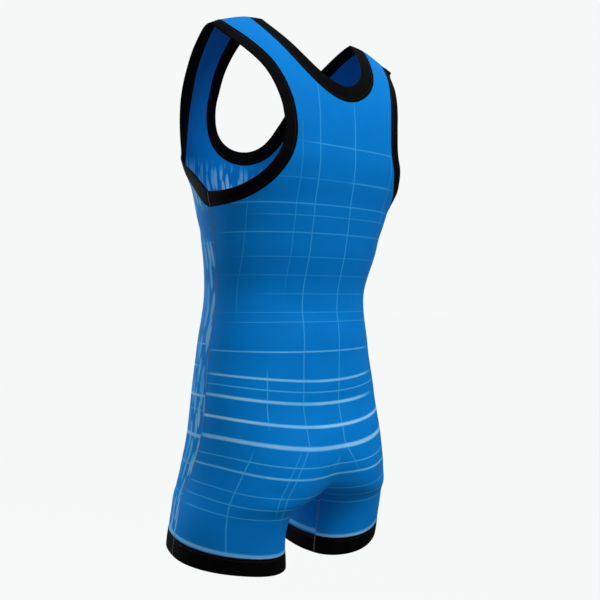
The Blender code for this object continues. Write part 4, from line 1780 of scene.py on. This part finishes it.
@dataclass
class Singlet:
    """The whole garment."""

    cut: Cut = field(default_factory=Cut)
    mesh: Mesh = field(default_factory=Mesh)
    knit_back: PrintedKnit = PrintedKnit("blue_knit_back", ACROSS_BACK, DOWN_BACK, False)
    knit_front: PrintedKnit = PrintedKnit("blue_knit_front", ACROSS_FRONT, DOWN_FRONT, True)
    rib: BlackRib = BlackRib()
    black_thread: Thread = Thread(
        "black_thread", (0.002, 0.002, 0.0024, 1.0), (0.006, 0.006, 0.007, 1.0)
    )
    grey_thread: Thread = Thread("grey_thread", (0.19, 0.165, 0.165, 1.0), (0.34, 0.31, 0.315, 1.0))
    blue_thread: Thread = Thread("blue_thread", (0.001, 0.15, 0.52, 1.0), (0.004, 0.25, 0.74, 1.0))
    topstitch: Stitch = Stitch(0.0020, 0.00042, 0.00034)
    seam_stitch: Stitch = Stitch(0.0031, 0.00036, 0.00034)
    topstitch_pitch: float = 0.0027  # from one stitch to the next
    seam_pitch: float = 0.0022
    topstitch_lift: float = 0.00008  # from the cloth's face to the middle of the thread
    seam_lift: float = 0.00012
    seam_slant: float = 0.75  # radians between a seam's stitches and its line
    sag_back: tuple[tuple[float, float], ...] = (
        (-0.75, 0.004),
        (-0.70, 0.014),
        (-0.64, 0.019),
        (-0.55, 0.015),
        (-0.46, 0.0),
        (0.0, 0.0),
    )
    creases_back: tuple[Crease, ...] = (
        Crease((0.030, -0.697), (0.095, -0.676), 0.0030, 0.013),
        Crease((-0.030, -0.695), (-0.105, -0.672), 0.0036, 0.014),
        Crease((-0.055, -0.432), (0.075, -0.424), 0.0014, 0.014),
        Crease((0.120, -0.300), (0.172, -0.318), 0.0010, 0.011),
        Crease((-0.112, -0.306), (-0.168, -0.327), 0.0012, 0.012),
    )
    creases_front: tuple[Crease, ...] = (
        Crease((0.034, -0.690), (0.125, -0.628), 0.0018, 0.012),
        Crease((-0.034, -0.688), (-0.118, -0.622), 0.0022, 0.013),
        Crease((-0.060, -0.446), (0.050, -0.437), 0.0014, 0.013),
        Crease((0.128, -0.312), (0.176, -0.296), 0.0012, 0.011),
        Crease((-0.132, -0.318), (-0.182, -0.300), 0.0010, 0.012),
    )

    def build(self) -> None:
        """Build and dress every piece."""
        self.shape = Shape(self.cut, self.mesh)
        trims = self.trims()
        for trim in trims:
            trim.build()
            trim.dress([self.topstitched(trim)])
        seams = self.seams({trim.name: trim for trim in trims})
        for seam in seams:
            seam.build()
            seam.dress()
        back = Panel(self.shape, BACK, self.knit_back, self.creases_back, self.sag_back)
        front = Panel(self.shape, FRONT, self.knit_front, self.creases_front)
        for panel, sewn in ((back, [seam.piece for seam in seams]), (front, [])):
            panel.build()
            panel.dress(sewn)

    def trims(self) -> list[FoldedTrim]:
        """The bindings and bands.

        Returns:
            The trims, not yet built.
        """
        cut, shape = self.cut, self.shape
        kinds = (
            ("armhole_trim_", "armhole_binding_", shape.armhole, cut.arm_binding),
            ("leg_trim_", "leg_band_", shape.band_line(), (cut.band_width, cut.band_width)),
        )
        rest = (cut.cloth, self.rib)
        neck = ("neck_trim", "neck_binding", shape.neck, cut.neck_binding, cut.neck_change)
        found = [FoldedTrim(*neck, *rest)]
        for name, node, line, widths in kinds:
            for side in Side:
                own = line if side is Side.LEFT else line.mirrored()
                place = (name + side.word, node + side.word, own)
                found.append(FoldedTrim(*place, widths, cut.arm_change, *rest))
        return found

    def topstitched(self, trim: FoldedTrim) -> bpy.types.Object:
        """Sew a trim on with a row of stitches on each of its faces.

        Args:
            trim: The trim.

        Returns:
            The stitches.
        """
        line = trim.line
        rise = float(trim.rise(np.array([trim.stitch_in]))[0]) + self.topstitch_lift
        middle = -self.cut.cloth / 2
        paths = [
            ThreadPath(line.moved(trim.stitch_in, level), out, True, 0.0, self.topstitch_pitch)
            for level, out in ((middle + rise, line.out), (middle - rise, -line.out))
        ]
        name = trim.name + "_stitches"
        rows = Stitching(name, paths, self.topstitch, self.black_thread, "black_trim")
        rows.build()
        rows.dress()
        return rows.piece

    def seams(self, trims: dict[str, FoldedTrim]) -> list[Stitching]:
        """The thread of the side seams, the inseam and the shoulder seams.

        Args:
            trims: The trims by name, which the seams run on over.

        Returns:
            The rows, not yet built.
        """
        shape, side_index = self.shape, self.mesh.columns
        bands = [trims["leg_trim_" + side.word] for side in Side]
        over = [band.crossing(0) for band in bands]
        found = [self.seam("inseam_thread", shape.inseam(), over, self.grey_thread, "black_trim")]
        for side, band in zip(Side, bands):
            lines = [shape.side_seam(), shape.shoulder_seam()]
            if side is Side.RIGHT:
                lines = [line.mirrored() for line in lines]
            over = [band.crossing(side_index), trims["armhole_trim_" + side.word].crossing(0)]
            name = "side_seam_thread_" + side.word
            found.append(self.seam(name, lines[0], over, self.grey_thread, "black_trim"))
            name = "shoulder_thread_" + side.word
            found.append(self.seam(name, lines[1], [], self.blue_thread, "blue_knit"))
        return found

    def seam(
        self,
        name: str,
        line: SewingLine,
        over: list[tuple[np.ndarray, np.ndarray]],
        thread: Thread,
        slot: str,
    ) -> Stitching:
        """A seam sewn flat: stitches leaning to and fro across it on both faces of the cloth.

        Args:
            name: The piece's name.
            line: Its line.
            over: Lines on which it runs on over the trims, as points and the way out.
            thread: Its thread.
            slot: Not used.

        Returns:
            The rows, not yet built.
        """
        paths, lift = [], self.seam_lift
        for slant in (self.seam_slant, -self.seam_slant):
            outer, inner = line.moved(0.0, lift), line.moved(0.0, -self.cut.cloth - lift)
            paths.append(ThreadPath(outer, line.out, line.closed, slant, self.seam_pitch))
            paths.append(ThreadPath(inner, -line.out, line.closed, slant, self.seam_pitch))
            for points, out in over:
                paths.append(ThreadPath(points + out * lift, out, False, slant, self.seam_pitch))
        return Stitching(name, paths, self.seam_stitch, thread, slot)


class Lamp(NamedTuple):
    """A square soft lamp."""

    name: str
    place: tuple[float, float, float]
    size: float  # side of its square
    power: float  # in watts


@dataclass
class Studio:
    """Pale floor, soft lights and the camera."""

    floor_height: float = -1.30
    floor_size: float = 60.0
    floor_paint: Colour = (0.02, 0.02, 0.02, 1.0)
    floor_glow: float = 0.985
    pale: Colour = (0.913, 0.939, 0.930, 1.0)
    lamps: tuple[Lamp, ...] = (
        Lamp("key", (-0.25, 2.15, 1.25), 1.4, 41.0),
        Lamp("top", (0.2, 0.1, 2.2), 1.4, 14.0),
        Lamp("front", (0.6, -2.35, 0.5), 1.6, 35.0),
    )
    aim: tuple[float, float, float] = (0.0, 0.0, -0.40)  # the point that the lamps face
    camera_place: tuple[float, float, float] = (0.752, 0.877, -0.411)
    camera_turn: float = 140.0
    lens: float = 45.06
    ambient: tuple[tuple[float, Colour], ...] = (
        (0.0, (0.18, 0.18, 0.18, 1.0)),
        (0.5, (0.29, 0.29, 0.29, 1.0)),
        (1.0, (0.50, 0.50, 0.50, 1.0)),
    )

    def build(self) -> None:
        """Set up the floor, the light round the garment, the lamps and the camera."""
        self.floor()
        self.surroundings()
        for lamp in self.lamps:
            self.hang(lamp)
        self.camera()

    def floor(self) -> None:
        """A pale floor well below the garment."""
        bpy.ops.mesh.primitive_plane_add(size=self.floor_size, location=(0, 0, self.floor_height))
        floor = bpy.context.object
        floor.name = "floor"
        floor.data.transform(floor.matrix_world)
        floor.matrix_world.identity()
        paint = bpy.data.materials.new("pale_floor")
        paint.use_nodes = True
        shader = paint.node_tree.nodes["Principled BSDF"]
        shader.inputs["Base Color"].default_value = self.floor_paint
        shader.inputs["Roughness"].default_value = 1.0
        shader.inputs["Specular IOR Level"].default_value = 0.0
        shader.inputs["Emission Color"].default_value = self.pale
        shader.inputs["Emission Strength"].default_value = self.floor_glow
        floor.data.materials.append(paint)
        floor.visible_diffuse = False
        floor.visible_glossy = False
        floor.visible_shadow = False

    def surroundings(self) -> None:
        """Soft light from all round, stronger from above, before a pale backdrop."""
        world = bpy.data.worlds.new("studio")
        world.use_nodes = True
        bpy.context.scene.world = world
        nodes = Nodes(world.node_tree)
        backdrop = world.node_tree.nodes["Background"]
        around = nodes.add("ShaderNodeBackground")
        parts = nodes.add("ShaderNodeSeparateXYZ")
        nodes.feed(parts.inputs[0], nodes.add("ShaderNodeTexCoord").outputs["Generated"])
        level = nodes.maths("ADD", nodes.maths("MULTIPLY", parts.outputs["Z"], 0.5), 0.5)
        nodes.feed(around.inputs["Color"], nodes.ramp(level, self.ambient))
        backdrop.inputs["Color"].default_value = self.pale
        mix = nodes.add("ShaderNodeMixShader")
        nodes.feed(mix.inputs[0], nodes.add("ShaderNodeLightPath").outputs["Is Camera Ray"])
        nodes.feed(mix.inputs[1], around.outputs[0])
        nodes.feed(mix.inputs[2], backdrop.outputs[0])
        nodes.feed(world.node_tree.nodes["World Output"].inputs["Surface"], mix.outputs[0])

    def hang(self, lamp: Lamp) -> None:
        """Hang a lamp so that it faces the garment.

        Args:
            lamp: The lamp.
        """
        light = bpy.data.lights.new(lamp.name, "AREA")
        light.energy, light.size = lamp.power, lamp.size
        hung = bpy.data.objects.new(lamp.name, light)
        way = np.array(self.aim) - np.array(lamp.place)
        hung.location = lamp.place
        hung.rotation_euler = (
            float(np.arctan2(np.hypot(way[0], way[1]), -way[2])),
            0.0,
            float(np.arctan2(-way[0], way[1])),
        )
        bpy.context.scene.collection.objects.link(hung)

    def camera(self) -> None:
        """A level camera behind the wearer's left shoulder."""
        eye = bpy.data.cameras.new("camera")
        eye.lens, eye.sensor_width = self.lens, 36.0
        camera = bpy.data.objects.new("camera", eye)
        camera.location = self.camera_place
        camera.rotation_euler = (radians(90), 0.0, radians(self.camera_turn))
        bpy.context.scene.collection.objects.link(camera)
        bpy.context.scene.camera = camera
        bpy.context.scene.view_settings.view_transform = "Standard"


def main() -> None:
    """Build the garment and the studio."""
    logging.basicConfig(level=logging.INFO, format="%(message)s")
    Singlet().build()
    Studio().build()


if __name__ == "__main__":
    main()
